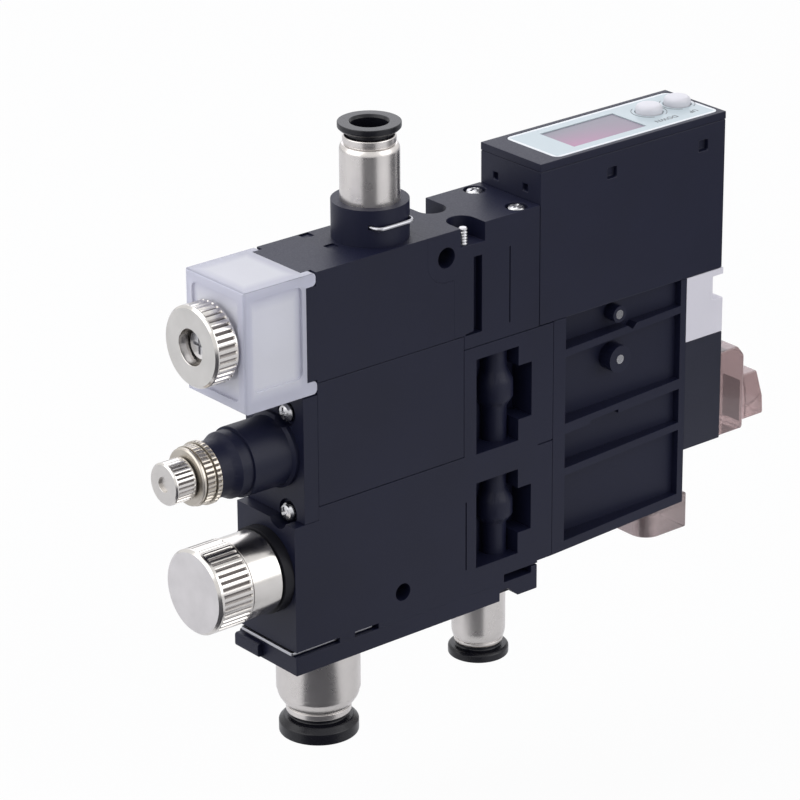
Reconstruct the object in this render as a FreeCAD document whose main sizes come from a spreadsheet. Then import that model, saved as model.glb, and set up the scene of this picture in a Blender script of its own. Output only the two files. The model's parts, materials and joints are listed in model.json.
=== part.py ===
import FreeCAD, Part
import math
import operator
import os
from types import SimpleNamespace

import Sketcher
from FreeCAD import Rotation, Vector

# Vacuum ejector unit: a slim stack of moulded blocks that makes suction from compressed air.
# Row frame: +Z up, +X from the knob end to the plug end, +Y through the thickness.
# The origin is the centre of the upper fixing hole, halfway through the thickness.
# The pieces are drawn from the front face (x), the middle plane (y) and the underside (z),
# and every placement then moves them by the place of the upper fixing hole.

os.makedirs("parts", exist_ok=True)
doc = FreeCAD.newDocument("VacuumEjector")
sheet = doc.addObject("Spreadsheet::Sheet", "Sizes")

# Driving dimensions in millimetres
DRIVING = {
    # whole stack
    "thickness": 15.5,
    "body_height": 71.3,
    "fit": 0.05,
    "gap": 0.3,
    # fixing holes
    "upper_hole_inset": 4.1,
    "upper_hole_drop": 4.4,
    "upper_hole_radius": 1.8,
    "lower_hole_from_front": 23.2,
    "lower_hole_height": 8.6,
    "lower_hole_radius": 1.6,
    # stacked blocks
    "base_plate_height": 3.4,
    "seam_low": 29.7,
    "seam_drop": 19.4,
    "front_block_step": 2.2,
    "lug_root": 5.8,
    "lug_length": 24.8,
    "lug_drop": 8.8,
    "lug_corner_radius": 4.2,
    "manifold_overhang": 3.3,
    "manifold_foot": 5.3,
    "port_block_front": 3.2,
    # front plate of the flow needle
    "plate_front": 2.2,
    "plate_thickness": 3.0,
    "plate_bottom_drop": 2.4,
    "plate_top_drop": 2.1,
    "needle_axis_rise": 0.05,
    "boss_radius": 6.1,
    "boss_length": 8.7,
    "boss_nose_radius": 5.7,
    "boss_nose_length": 2.2,
    "boss_chamfer": 1.5,
    "boss_flange_radius": 6.6,
    "boss_flange_height": 0.7,
    "neck_radius": 4.9,
    "neck_length": 2.2,
    "plate_screw_side": 3.3,
    "plate_screw_top_drop": 3.7,
    "plate_screw_bottom_rise": 0.9,
    "plate_recess_radius": 2.3,
    "plate_recess_depth": 0.8,
    # cross-head screws
    "screw_head_radius": 1.7,
    "screw_head_height": 1.3,
    "screw_shank_radius": 1.0,
    "screw_shank_length": 5.0,
    "screw_slot_width": 0.55,
    "screw_slot_length": 2.2,
    "screw_slot_depth": 0.6,
    # flow needle and its lock nut
    "needle_knob_radius": 3.65,
    "needle_knob_length": 4.2,
    "needle_knob_gap": 0.3,
    "needle_stem_radius": 2.2,
    "needle_tip_length": 3.0,
    "needle_length": 22.0,
    "needle_guide_length": 3.4,
    "needle_dimple_radius": 1.3,
    "needle_dimple_depth": 0.5,
    "needle_seal_cord": 0.45,
    "needle_seal_inset": 4.2,
    "seal_touch": 0.02,
    "needle_chamber_radius": 3.2,
    "needle_seat_depth": 4.5,
    "needle_orifice_radius": 1.2,
    "needle_orifice_depth": 12.0,
    "lock_nut_radius": 5.4,
    "lock_nut_thickness": 3.6,
    # knurling
    "knurl_depth": 0.32,
    "knurl_margin": 0.6,
    "filter_knob_teeth": 34,
    "cap_teeth": 40,
    "needle_teeth": 26,
    "lock_nut_teeth": 30,
    # filter cover, element and knob
    "cover_length": 12.8,
    "cover_height": 21.2,
    "cover_wall": 1.3,
    "cover_corner_radius": 0.5,
    "cover_frame_width": 1.7,
    "cover_frame_depth": 0.5,
    "cover_frame_radius": 1.2,
    "filter_axis_drop": 10.3,
    "filter_radius": 5.0,
    "filter_length": 12.6,
    "filter_bore_radius": 2.0,
    "chamber_radius": 5.5,
    "chamber_depth": 8.0,
    "cover_tab_length": 2.0,
    "cover_tab_height": 2.3,
    "cover_tab_depth": 1.4,
    "cover_tab_radius": 0.8,
    "cover_seal_thickness": 0.8,
    "stud_radius": 1.5,
    "stud_depth": 6.0,
    "filter_knob_radius": 7.0,
    "filter_knob_length": 4.7,
    "filter_knob_bore_radius": 3.1,
    "filter_knob_bore_depth": 3.0,
    "stud_head_radius": 2.7,
    "stud_head_height": 1.2,
    # ejector cartridge and its cap
    "ejector_axis_height": 17.5,
    "ejector_bore_radius": 4.6,
    "ejector_bore_depth": 35.0,
    "cap_ring_radius": 7.6,
    "cap_ring_height": 1.9,
    "cap_radius": 7.45,
    "cap_band_radius": 7.25,
    "cap_knurl_length": 7.1,
    "cap_band_length": 6.1,
    "cap_spigot_length": 8.0,
    "cap_edge": 0.5,
    "cap_front_band": 1.1,
    "diffuser_start": 14.0,
    "diffuser_length": 14.0,
    "diffuser_throat_radius": 0.9,
    "diffuser_mouth_radius": 2.2,
    "nozzle_length": 6.0,
    "nozzle_throat_radius": 0.5,
    "nozzle_radius": 1.6,
    "nozzle_flange": 2.0,
    "seal_cord": 0.5,
    # top tube fitting
    "top_port_inset": 5.9,
    "collar_radius": 6.57,
    "collar_height": 6.5,
    "gate_inset": 9.3,
    "gate_length": 2.1,
    "gate_half_width": 0.95,
    "passage_radius": 2.0,
    "passage_rise": 3.2,
    "air_hole_radius": 1.2,
    "top_fitting_radius": 5.0,
    "top_fitting_length": 8.7,
    "top_fitting_depth": 11.0,
    "top_lip_radius": 4.6,
    "top_lip_length": 2.5,
    "top_ring_radius": 5.35,
    "top_ring_thickness": 1.2,
    "top_tube_radius": 3.05,
    # bottom tube fitting for the larger tube
    "large_port_from_front": 10.7,
    "large_fitting_radius": 7.25,
    "large_fitting_length": 8.0,
    "large_neck_radius": 5.6,
    "large_neck_length": 7.6,
    "large_lip_radius": 5.7,
    "large_lip_length": 4.2,
    "large_ring_radius": 6.9,
    "large_ring_thickness": 2.9,
    "large_tube_radius": 4.05,
    # bottom tube fitting for the smaller tube
    "small_port_from_front": 46.8,
    "small_fitting_radius": 4.75,
    "small_fitting_length": 9.3,
    "small_neck_radius": 4.2,
    "small_neck_length": 7.4,
    "small_lip_radius": 4.35,
    "small_lip_length": 0.9,
    "small_ring_radius": 5.35,
    "small_ring_thickness": 1.6,
    "small_tube_radius": 3.05,
    # what the three fittings share
    "ring_travel": 0.7,
    "sleeve_wall": 0.9,
    "sleeve_length": 3.6,
    "collet_length": 1.6,
    "tube_guide_length": 7.0,
    # wire clip of the top fitting
    "clip_wire": 0.7,
    "clip_height": 2.9,
    "clip_leg_offset": 4.0,
    "clip_leg_end": 4.5,
    "clip_bend": 1.9,
    # base plate
    "base_plate_end": 53.7,
    "base_notch_inset": 8.6,
    "base_notch_floor": 1.8,
    "base_notch_height": 2.0,
    "base_chamfer_length": 2.4,
    "base_lug_length": 1.4,
    "base_lug_height": 4.6,
    "base_slot_length": 7.7,
    "base_tab_length": 1.3,
    "base_tab_width": 6.4,
    "base_tab_bottom": 0.6,
    "base_tab_height": 2.5,
    "base_clip_wire": 0.6,
    "base_clip_margin": 0.8,
    "base_clip_side": 6.7,
    "base_clip_reach": 0.45,
    "clip_slot_width": 0.8,
    "clip_slot_height": 1.0,
    "first_slot_end": 9.3,
    "slot_bridge": 3.3,
    "side_slot_length": 5.2,
    # windows and slots in the middle block
    "window_inset": 2.7,
    "window_width": 9.5,
    "lobe_width": 3.0,
    "window_depth": 5.0,
    "window_gap": 5.4,
    "lower_window_bottom": 8.1,
    "window_drop": 2.35,
    "lower_window_height": 16.0,
    "lobe_start": 3.9,
    "lobe_end": 3.6,
    "column_inset": 7.3,
    "column_back": 3.7,
    "column_radius": 2.3,
    "column_bulge_radius": 3.4,
    "notch_inset": 5.8,
    "notch_radius": 2.65,
    "notch_depth": 3.4,
    "near_notch_centre": 4.9,
    "far_notch_centre": 3.3,
    "tall_slot_inset": 0.2,
    "tall_slot_width": 1.8,
    "tall_slot_height": 13.8,
    "tall_slot_drop": 5.7,
    "tall_slot_depth": 1.6,
    "seam_from_front": 37.2,
    "seam_margin": 5.0,
    "seam_top_drop": 8.5,
    "seam_width": 0.25,
    "seam_depth": 0.25,
    "manifold_screw_inset": 3.3,
    "manifold_screw_side": 5.4,
    "set_screw_inset": 1.0,
    "set_screw_side": 6.3,
    "set_screw_radius": 0.8,
    "set_screw_height": 2.9,
    # valve frame
    "frame_length": 31.4,
    "frame_rise": 1.2,
    "pocket_margin": 2.8,
    "pocket_end_margin": 1.4,
    "pocket_depth": 3.3,
    "pocket_shallow_depth": 1.4,
    "first_rib_drop": 5.95,
    "second_pocket_bottom": 29.5,
    "frame_rib": 1.4,
    "third_pocket_bottom": 21.1,
    "frame_low_rib": 1.9,
    "fourth_pocket_bottom": 7.2,
    "frame_boss_inset": 12.6,
    "frame_boss_drop": 3.6,
    "frame_boss_radius": 2.5,
    "frame_boss_rise": 0.3,
    "frame_pin_radius": 0.85,
    "slit_length": 6.6,
    "slit_width": 0.7,
    "slit_rise": 0.3,
    "mark_inset": 3.1,
    "mark_half_width": 1.8,
    "mark_height": 1.2,
    "upper_pin_drop": 2.65,
    "upper_pin_ring_radius": 1.5,
    # digital vacuum switch
    "switch_clearance": 0.1,
    "switch_end_margin": 0.4,
    "switch_drop": 2.55,
    "switch_lid_thickness": 1.4,
    "switch_rise": 7.2,
    "switch_wall": 1.5,
    "latch_inset": 15.3,
    "latch_end_inset": 6.3,
    "latch_width": 2.1,
    "latch_height": 1.9,
    "latch_drop": 6.1,
    "latch_depth": 0.9,
    "test_hole_size": 1.2,
    "test_hole_side": 3.8,
    "test_hole_drop": 5.1,
    "panel_margin": 4.4,
    "panel_end_margin": 0.6,
    "panel_half_width": 6.75,
    "panel_thickness": 0.5,
    "panel_corner_radius": 1.4,
    "display_inset": 6.1,
    "display_end_gap": 5.5,
    "display_half_width": 4.4,
    "button_spacing": 6.7,
    "button_inset": 3.0,
    "button_side": 0.9,
    "button_radius": 2.45,
    "button_height": 1.25,
    "button_stem_radius": 1.6,
    "button_travel": 0.6,
    "board_thickness": 1.2,
    "board_drop": 3.2,
    "sensor_size": 7.0,
    "sensor_height": 5.0,
    # solenoid valve and its plug
    "valve_half_width": 7.5,
    "valve_length": 8.9,
    "valve_bottom": 16.5,
    "head_height": 12.15,
    "head_notch_depth": 2.5,
    "head_notch_height": 4.4,
    "head_notch_drop": 1.25,
    "socket_length": 8.2,
    "socket_half_width": 6.4,
    "socket_bottom": 15.1,
    "socket_top": 31.4,
    "plug_length": 6.0,
    "plug_half_width": 4.5,
    "plug_bottom": 16.8,
    "plug_top": 24.8,
    "plug_nose": 2.2,
    "lower_socket_inset": 8.4,
    "lower_socket_reach": 1.8,
    "lower_socket_half_width": 7.0,
    "lower_socket_bottom": 0.8,
    "lower_socket_lip": 7.6,
    "lower_socket_corner_radius": 3.4,
}


class Size:
    """A length that carries its value and the sheet formula that gives it."""

    def __init__(self, value, formula):
        self.value = value
        self.formula = formula

    def __add__(self, other):
        return joined(self, "+", other)

    def __radd__(self, other):
        return joined(other, "+", self)

    def __sub__(self, other):
        return joined(self, "-", other)

    def __rsub__(self, other):
        return joined(other, "-", self)

    def __mul__(self, other):
        return joined(self, "*", other)

    def __rmul__(self, other):
        return joined(other, "*", self)

    def __truediv__(self, other):
        return joined(self, "/", other)

    def __neg__(self):
        return joined(0, "-", self)


OPERATIONS = {"+": operator.add, "-": operator.sub, "*": operator.mul, "/": operator.truediv}


def as_size(item):
    return item if isinstance(item, Size) else Size(float(item), str(float(item)))


def joined(left, sign, right):
    left = as_size(left)
    right = as_size(right)
    value = OPERATIONS[sign](left.value, right.value)
    return Size(value, f"({left.formula} {sign} {right.formula})")


S = SimpleNamespace()
for line, (alias, number) in enumerate(DRIVING.items(), start=1):
    sheet.set(f"A{line}", alias)
    sheet.set(f"B{line}", str(number))
    sheet.setAlias(f"B{line}", alias)
    setattr(S, alias, Size(float(number), f"Sizes.{alias}"))
doc.recompute()

# Heights and places along the stack that follow from the driving sizes
S.seam_high = S.body_height - S.seam_drop
S.upper_hole_height = S.body_height - S.upper_hole_drop
S.lug_height = S.body_height - S.lug_drop
S.filter_axis_height = S.body_height - S.filter_axis_drop
S.tall_slot_top = S.body_height - S.tall_slot_drop
S.tall_slot_bottom = S.tall_slot_top - S.tall_slot_height
S.plate_top = S.seam_high - S.plate_top_drop
S.plate_bottom = S.seam_low - S.plate_bottom_drop
S.needle_axis_height = (S.plate_bottom + S.plate_top) / 2 + S.needle_axis_rise
S.plate_screw_top = S.plate_top - S.plate_screw_top_drop
S.plate_screw_bottom = S.plate_bottom + S.plate_screw_bottom_rise
S.switch_top = S.body_height + S.switch_rise
S.switch_lid_bottom = S.switch_top - S.switch_lid_thickness
S.switch_bottom = S.seam_high - S.switch_drop
S.latch_bottom = S.switch_top - S.latch_drop
S.test_hole_height = S.switch_top - S.test_hole_drop
S.upper_window_bottom = S.lower_window_bottom + S.lower_window_height + S.window_gap
S.upper_window_height = S.switch_bottom - S.window_drop - S.upper_window_bottom
S.first_pocket_bottom = S.switch_bottom - S.first_rib_drop
S.second_pocket_top = S.first_pocket_bottom - S.frame_rib
S.third_pocket_top = S.second_pocket_bottom - S.frame_low_rib
S.fourth_pocket_top = S.third_pocket_bottom - S.frame_rib
S.frame_boss_height = S.second_pocket_top - S.frame_boss_drop
S.upper_pin_height = S.switch_bottom - S.upper_pin_drop
S.coil_top = S.switch_bottom - S.head_height
S.head_notch_top = S.switch_bottom - S.head_notch_drop
S.head_notch_bottom = S.head_notch_top - S.head_notch_height
S.lug_start = S.base_plate_end - S.lug_length
S.top_port_from_front = S.lug_start - S.top_port_inset
S.upper_hole_from_front = S.lug_start + S.upper_hole_inset
S.port_block_length = S.lug_start + S.lug_root
S.front_block_length = S.port_block_length + S.front_block_step
S.notch_centre = S.upper_hole_from_front + S.notch_inset
S.tall_slot_left = S.notch_centre + S.tall_slot_inset
S.tall_slot_right = S.tall_slot_left + S.tall_slot_width
S.set_screw_from_front = S.notch_centre - S.set_screw_inset
S.window_left = S.front_block_length + S.window_inset
S.window_right = S.window_left + S.window_width
S.window_lobe_right = S.window_right + S.lobe_width
S.column_centre = S.window_left + S.column_inset
S.manifold_screw_from_front = S.base_plate_end - S.manifold_screw_inset
S.manifold_end = S.base_plate_end + S.manifold_overhang
S.switch_start = S.base_plate_end + S.switch_clearance
S.frame_end = S.manifold_end + S.frame_length
S.pocket_left = S.manifold_end + S.pocket_margin
S.pocket_right = S.frame_end - S.pocket_end_margin
S.frame_boss_from_front = S.pocket_left + S.frame_boss_inset
S.valve_end = S.frame_end + S.valve_length
S.switch_end = S.valve_end - S.switch_end_margin
S.head_notch_start = S.valve_end - S.head_notch_depth
S.socket_end = S.valve_end + S.socket_length
S.plug_end = S.socket_end + S.plug_length
S.lower_socket_start = S.frame_end - S.lower_socket_inset
S.lower_socket_end = S.frame_end + S.lower_socket_reach
S.latch_left = S.switch_start + S.latch_inset
S.latch_right = S.switch_end - S.latch_end_inset
S.panel_left = S.switch_start + S.panel_margin
S.panel_right = S.switch_end - S.panel_end_margin
S.display_left = S.panel_left + S.display_inset
S.up_button_from_front = S.panel_right - S.button_inset
S.down_button_from_front = S.up_button_from_front - S.button_spacing
S.display_right = S.down_button_from_front - S.display_end_gap
S.base_lug_start = S.base_plate_end - S.base_lug_length
S.base_slot_start = S.base_plate_end - S.base_slot_length
S.base_notch_start = S.base_plate_end - S.base_notch_inset
S.base_notch_end = S.base_notch_start + S.base_notch_floor
S.base_chamfer_end = S.base_notch_end + S.base_chamfer_length
S.side_slot_start = S.first_slot_end + S.slot_bridge
S.side_slot_end = S.side_slot_start + S.side_slot_length
S.base_clip_end = S.side_slot_end - S.base_clip_margin

# Places that several pieces share
HALF = S.thickness / 2
PLATE_BACK = S.plate_front + S.plate_thickness
CAP_BACK = -(S.cap_ring_height + S.gap)
COVER_FRONT = S.port_block_front - S.cover_length
COVER_BOTTOM = S.body_height - S.cover_height
KNOB_BACK = COVER_FRONT - S.gap
COLLAR_TOP = S.body_height + S.collar_height
NOSE_FRONT = S.plate_front - S.boss_length - S.boss_nose_length
NECK_START = NOSE_FRONT - S.boss_chamfer
BOSS_FRONT = NECK_START - S.neck_length
NUT_BACK = BOSS_FRONT - S.gap
NUT_FRONT = NUT_BACK - S.lock_nut_thickness
NEEDLE_FRONT = NUT_FRONT - S.needle_knob_gap - S.needle_knob_length
ORIGIN = Vector(0, 0, 0)


def bind(item, prop, size):
    item.setExpression(prop, as_size(size).formula)


def place(item, x, y, z, turn=None):
    """Puts a piece at x from the front, y from the middle plane and z above the underside."""
    if turn is not None:
        item.Placement = FreeCAD.Placement(ORIGIN, turn)
    bind(item, "Placement.Base.x", as_size(x) - S.upper_hole_from_front)
    bind(item, "Placement.Base.y", as_size(y))
    bind(item, "Placement.Base.z", as_size(z) - S.upper_hole_height)


def new_body(name, x=0, y=0, z=0, turn=None):
    body = doc.addObject("PartDesign::Body", name)
    body.Label = name
    place(body, x, y, z, turn)
    return body


def origin_item(body, role):
    return next(item for item in body.Origin.OriginFeatures if item.Role == role)


def new_sketch(body, plane, offset=0):
    sketch = body.newObject("Sketcher::SketchObject", f"{body.Name}_sketch")
    sketch.AttachmentSupport = [(origin_item(body, f"{plane}_Plane"), "")]
    sketch.MapMode = "FlatFace"
    bind(sketch, "AttachmentOffset.Base.z", offset)
    return sketch


def fix(sketch, element, point, across, up):
    """Ties one sketch point to its two sizes."""
    for kind, size, axis in (("DistanceX", as_size(across), -2), ("DistanceY", as_size(up), -1)):
        if size.formula == "0.0":
            sketch.addConstraint(Sketcher.Constraint("PointOnObject", element, point, axis))
        else:
            rule = Sketcher.Constraint(kind, -1, 1, element, point, size.value)
            number = sketch.addConstraint(rule)
            bind(sketch, f"Constraints[{number}]", size)


def outline(sketch, corners):
    """Closed outline of straight edges through the corners."""
    spots = [Vector(as_size(a).value, as_size(b).value, 0) for a, b in corners]
    first = sketch.GeometryCount
    total = len(spots)
    for number in range(total):
        sketch.addGeometry(Part.LineSegment(spots[number], spots[(number + 1) % total]))
    for number in range(total):
        following = first + (number + 1) % total
        sketch.addConstraint(Sketcher.Constraint("Coincident", first + number, 2, following, 1))
    for number, (across, up) in enumerate(corners):
        fix(sketch, first + number, 1, across, up)


def rectangle(sketch, left, right, bottom, top):
    outline(sketch, [(left, bottom), (right, bottom), (right, top), (left, top)])


def circle(sketch, across, up, radius):
    spot = Vector(as_size(across).value, as_size(up).value, 0)
    number = sketch.addGeometry(Part.Circle(spot, Vector(0, 0, 1), as_size(radius).value))
    fix(sketch, number, 3, across, up)
    rule = sketch.addConstraint(Sketcher.Constraint("Radius", number, as_size(radius).value))
    bind(sketch, f"Constraints[{rule}]", radius)


def solid(body, kind, sketch):
    feature = body.newObject(f"PartDesign::{kind}", f"{body.Name}_{kind.lower()}")
    feature.Profile = sketch
    return feature


def pad(body, sketch, length, symmetric=False, reverse=False):
    feature = solid(body, "Pad", sketch)
    feature.SideType = "Symmetric" if symmetric else "One side"
    feature.Reversed = reverse
    bind(feature, "Length", length)
    doc.recompute()
    return feature


def pocket(body, sketch, length, symmetric=False, reverse=False):
    """Cuts the sketch into the body, and stops if nothing was cut."""
    doc.recompute()
    before = body.Shape.Volume
    feature = solid(body, "Pocket", sketch)
    feature.SideType = "Symmetric" if symmetric else "One side"
    feature.Reversed = reverse
    bind(feature, "Length", length)
    doc.recompute()
    if not body.Shape.Volume < before:
        raise RuntimeError(f"{body.Label}: {feature.Name} cuts nothing")
    return feature


def revolve(body, sketch, axis):
    feature = solid(body, "Revolution", sketch)
    feature.ReferenceAxis = (sketch, [f"{axis}_Axis"])
    feature.Angle = 360
    doc.recompute()
    return feature


def turned(body, corners, axis="H"):
    """A piece turned about its own axis, from the corners of half its section."""
    sketch = new_sketch(body, "XZ")
    outline(sketch, corners)
    return revolve(body, sketch, axis)


def side_block(body, corners):
    """A block with one outline on both broad faces."""
    sketch = new_sketch(body, "XZ")
    outline(sketch, corners)
    return pad(body, sketch, S.thickness, symmetric=True)


def side_cut(body, corners, depth, far=False):
    """A recess in the near broad face, or in the far one."""
    sketch = new_sketch(body, "XZ", -HALF if far else HALF)
    outline(sketch, corners)
    return pocket(body, sketch, depth, reverse=far)


def through_hole(body, across, up, radius):
    sketch = new_sketch(body, "XZ")
    circle(sketch, across, up, radius)
    return pocket(body, sketch, S.thickness + 2, symmetric=True)


def bore_down(body, across, aside, radius, top, bottom):
    """A round hole from the height top down to the height bottom."""
    sketch = new_sketch(body, "XY", top)
    circle(sketch, across, aside, radius)
    return pocket(body, sketch, as_size(top) - bottom)


def bore_back(body, aside, up, radius, front, back):
    """A round hole along X, from the place front to the place back."""
    sketch = new_sketch(body, "YZ", back)
    circle(sketch, aside, up, radius)
    return pocket(body, sketch, as_size(back) - front)


def seam(body, left, right, bottom, top, far=False):
    side_cut(body, [(left, bottom), (right, bottom), (right, top), (left, top)], S.seam_depth, far)


def fillet_where(body, radius, wanted):
    """Rounds the edges of the body's tip that the test picks."""
    doc.recompute()
    base = body.Tip
    names = [f"Edge{n}" for n, edge in enumerate(base.Shape.Edges, start=1) if wanted(edge)]
    if not names:
        raise RuntimeError(f"{body.Label}: no edge to round")
    feature = body.newObject("PartDesign::Fillet", f"{body.Name}_fillet")
    feature.Base = (base, names)
    bind(feature, "Radius", radius)
    doc.recompute()
    return feature


def near(value, size):
    return abs(value - as_size(size).value) < 0.01


def runs_along(edge, axis):
    """True for a straight edge that runs along the axis x, y or z."""
    if not isinstance(edge.Curve, Part.Line):
        return False
    return abs(abs(getattr(edge.Curve.Direction, axis)) - 1) < 1e-6


def knurl(body, radius, teeth, front, length):
    """Straight knurling: V grooves cut along X and repeated around the axis."""
    sketch = new_sketch(body, "YZ", front)
    half_width = S.knurl_depth * 0.9
    top = radius + 0.2
    foot = as_size(radius) - S.knurl_depth
    outline(sketch, [(-half_width, top), (half_width, top), (0, foot)])
    groove = pocket(body, sketch, length, reverse=True)
    pattern = body.newObject("PartDesign::PolarPattern", f"{body.Name}_pattern")
    pattern.Originals = [groove]
    pattern.Axis = (origin_item(body, "X_Axis"), [""])
    pattern.Angle = 360
    bind(pattern, "Occurrences", teeth)
    body.Tip = pattern
    doc.recompute()
    return pattern


RECESS_BACK = S.plate_front + S.plate_recess_depth
SCREW_END = RECESS_BACK + S.screw_shank_length

# Lower block with the ejector bore, the two windows and the lower fixing hole
ejector_block = new_body("ejector_block")
side_block(ejector_block, [
    (0, S.base_plate_height), (S.base_plate_end, S.base_plate_height),
    (S.base_plate_end, S.manifold_foot), (S.manifold_end, S.manifold_foot),
    (S.manifold_end, S.switch_bottom), (S.front_block_length, S.switch_bottom),
    (S.front_block_length, S.seam_low), (PLATE_BACK, S.seam_low),
    (PLATE_BACK, S.plate_bottom), (0, S.plate_bottom),
])
bore_back(ejector_block, 0, S.ejector_axis_height, S.ejector_bore_radius, 0, S.ejector_bore_depth)
bore_down(ejector_block, S.large_port_from_front, 0, S.large_neck_radius + S.fit, S.large_neck_length, 0)
bore_down(
    ejector_block, S.large_port_from_front, 0, S.passage_radius, S.ejector_axis_height, S.large_neck_length)
bore_down(ejector_block, S.small_port_from_front, 0, S.small_neck_radius + S.fit, S.small_neck_length, 0)
through_hole(ejector_block, S.lower_hole_from_front, S.lower_hole_height, S.lower_hole_radius)
bore_back(ejector_block, -S.plate_screw_side, S.plate_screw_bottom, S.plate_recess_radius, 0, PLATE_BACK)
bore_back(
    ejector_block, -S.plate_screw_side, S.plate_screw_bottom, S.screw_shank_radius + S.fit, 0, SCREW_END)

# Tunnels for the legs of the base clip, open to both faces in two slots
SLOT_TOP = S.base_plate_height + S.clip_slot_height
SLOT_INNER = S.base_clip_side - S.clip_slot_width / 2
SLOT_OUTER = S.base_clip_side + S.clip_slot_width / 2
for inner, outer in ((-SLOT_OUTER, -SLOT_INNER), (SLOT_INNER, SLOT_OUTER)):
    tunnel = new_sketch(ejector_block, "XY", SLOT_TOP)
    rectangle(tunnel, 0, S.side_slot_end, inner, outer)
    pocket(ejector_block, tunnel, S.clip_slot_height)
front_slot = new_sketch(ejector_block, "XY", SLOT_TOP)
rectangle(front_slot, 0, S.base_clip_wire, -SLOT_OUTER, SLOT_OUTER)
pocket(ejector_block, front_slot, S.clip_slot_height)
for slot_start, slot_end in ((0, S.first_slot_end), (S.side_slot_start, S.side_slot_end)):
    slot = [(slot_start, S.base_plate_height), (slot_end, S.base_plate_height)]
    slot += [(slot_end, SLOT_TOP), (slot_start, SLOT_TOP)]
    side_cut(ejector_block, slot, HALF - SLOT_INNER)
    side_cut(ejector_block, slot, HALF - SLOT_INNER, far=True)
hook_slot = [(S.base_slot_start, S.base_plate_height), (S.base_plate_end, S.base_plate_height)]
hook_slot += [(S.base_plate_end, S.manifold_foot - 0.4), (S.base_slot_start, S.manifold_foot - 0.4)]
side_cut(ejector_block, hook_slot, S.clip_slot_width * 3)

# Windows with a waisted column behind each
for bottom, height in (
    (S.upper_window_bottom, S.upper_window_height),
    (S.lower_window_bottom, S.lower_window_height),
):
    top = bottom + height
    lobe_bottom = bottom + S.lobe_start
    lobe_top = top - S.lobe_end
    side_cut(ejector_block, [
        (S.window_left, bottom), (S.window_right, bottom), (S.window_right, lobe_bottom),
        (S.window_lobe_right, lobe_bottom), (S.window_lobe_right, lobe_top),
        (S.window_right, lobe_top), (S.window_right, top), (S.window_left, top),
    ], S.window_depth)
for bottom, height in (
    (S.upper_window_bottom, S.upper_window_height),
    (S.lower_window_bottom, S.lower_window_height),
):
    column = new_sketch(ejector_block, "XZ", S.column_back)
    left = S.column_centre - S.column_radius
    bulge = S.column_centre - S.column_bulge_radius
    outline(column, [
        (S.column_centre, bottom), (left, bottom), (left, bottom + height * 0.35),
        (bulge, bottom + height * 0.45), (bulge, bottom + height * 0.62),
        (left, bottom + height * 0.75), (left, bottom + height), (S.column_centre, bottom + height),
    ])
    post = solid(ejector_block, "Revolution", column)
    doc.recompute()
    post.ReferenceAxis = (column, ["Edge8"])
    post.Angle = 360
    doc.recompute()

# Thin parting lines drawn on the broad faces
for left, right, bottom, top in (
    (S.seam_from_front, S.seam_from_front + S.seam_width,
     S.base_plate_height + S.seam_margin, S.seam_low - S.seam_top_drop),
    (S.base_plate_end, S.manifold_end, S.plate_bottom, S.plate_bottom + S.seam_width),
):
    seam(ejector_block, left, right, bottom, top)

# Middle block behind the needle plate
needle_block = new_body("needle_block")
side_block(needle_block, [
    (PLATE_BACK, S.seam_low), (S.front_block_length, S.seam_low),
    (S.front_block_length, S.seam_high), (PLATE_BACK, S.seam_high),
])
bore_back(
    needle_block, 0, S.needle_axis_height, S.needle_chamber_radius, PLATE_BACK, PLATE_BACK + S.needle_seat_depth)
bore_back(
    needle_block, 0, S.needle_axis_height, S.needle_orifice_radius, PLATE_BACK, PLATE_BACK + S.needle_orifice_depth)
bore_back(
    needle_block, -S.plate_screw_side, S.plate_screw_top, S.screw_shank_radius + S.fit, PLATE_BACK, SCREW_END)

# Upper front block with the collar of the top fitting and the filter chamber
port_block = new_body("port_block")
side_block(port_block, [
    (S.port_block_front, S.seam_high), (S.port_block_length, S.seam_high),
    (S.port_block_length, S.lug_height), (S.lug_start, S.lug_height),
    (S.lug_start, S.body_height), (S.port_block_front, S.body_height),
])
fillet_where(port_block, S.lug_corner_radius, lambda edge: (
    runs_along(edge, "y") and near(edge.CenterOfMass.x, S.lug_start)
    and near(edge.CenterOfMass.z, S.lug_height)))
TOP_FACE = S.body_height
collar = new_sketch(port_block, "XY", TOP_FACE)
circle(collar, S.top_port_from_front, 0, S.collar_radius)
pad(port_block, collar, S.collar_height)
TOP_SEAT = COLLAR_TOP - S.top_fitting_depth
bore_down(port_block, S.top_port_from_front, 0, S.top_fitting_radius + S.fit, COLLAR_TOP, TOP_SEAT)
PASSAGE = S.filter_axis_height + S.passage_rise
bore_down(port_block, S.top_port_from_front, 0, S.passage_radius, TOP_SEAT, PASSAGE - S.air_hole_radius)
CHAMBER_END = S.port_block_front + S.chamber_depth
bore_back(port_block, 0, S.filter_axis_height, S.chamber_radius, S.port_block_front, CHAMBER_END)
bore_back(port_block, 0, S.filter_axis_height, S.stud_radius + S.fit, CHAMBER_END, CHAMBER_END + S.stud_depth)
bore_back(port_block, 0, PASSAGE, S.air_hole_radius, CHAMBER_END, S.top_port_from_front)
TAB_END = S.port_block_front + S.cover_tab_length + S.fit
for tab_bottom, tab_top in (
    (S.seam_high, COVER_BOTTOM + S.cover_tab_height + S.fit),
    (TOP_FACE - S.cover_tab_height - S.fit, TOP_FACE),
):
    for far in (False, True):
        side_cut(port_block, [
            (S.port_block_front, tab_bottom), (TAB_END, tab_bottom),
            (TAB_END, tab_top), (S.port_block_front, tab_top),
        ], S.cover_tab_depth + S.fit, far)

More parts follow.
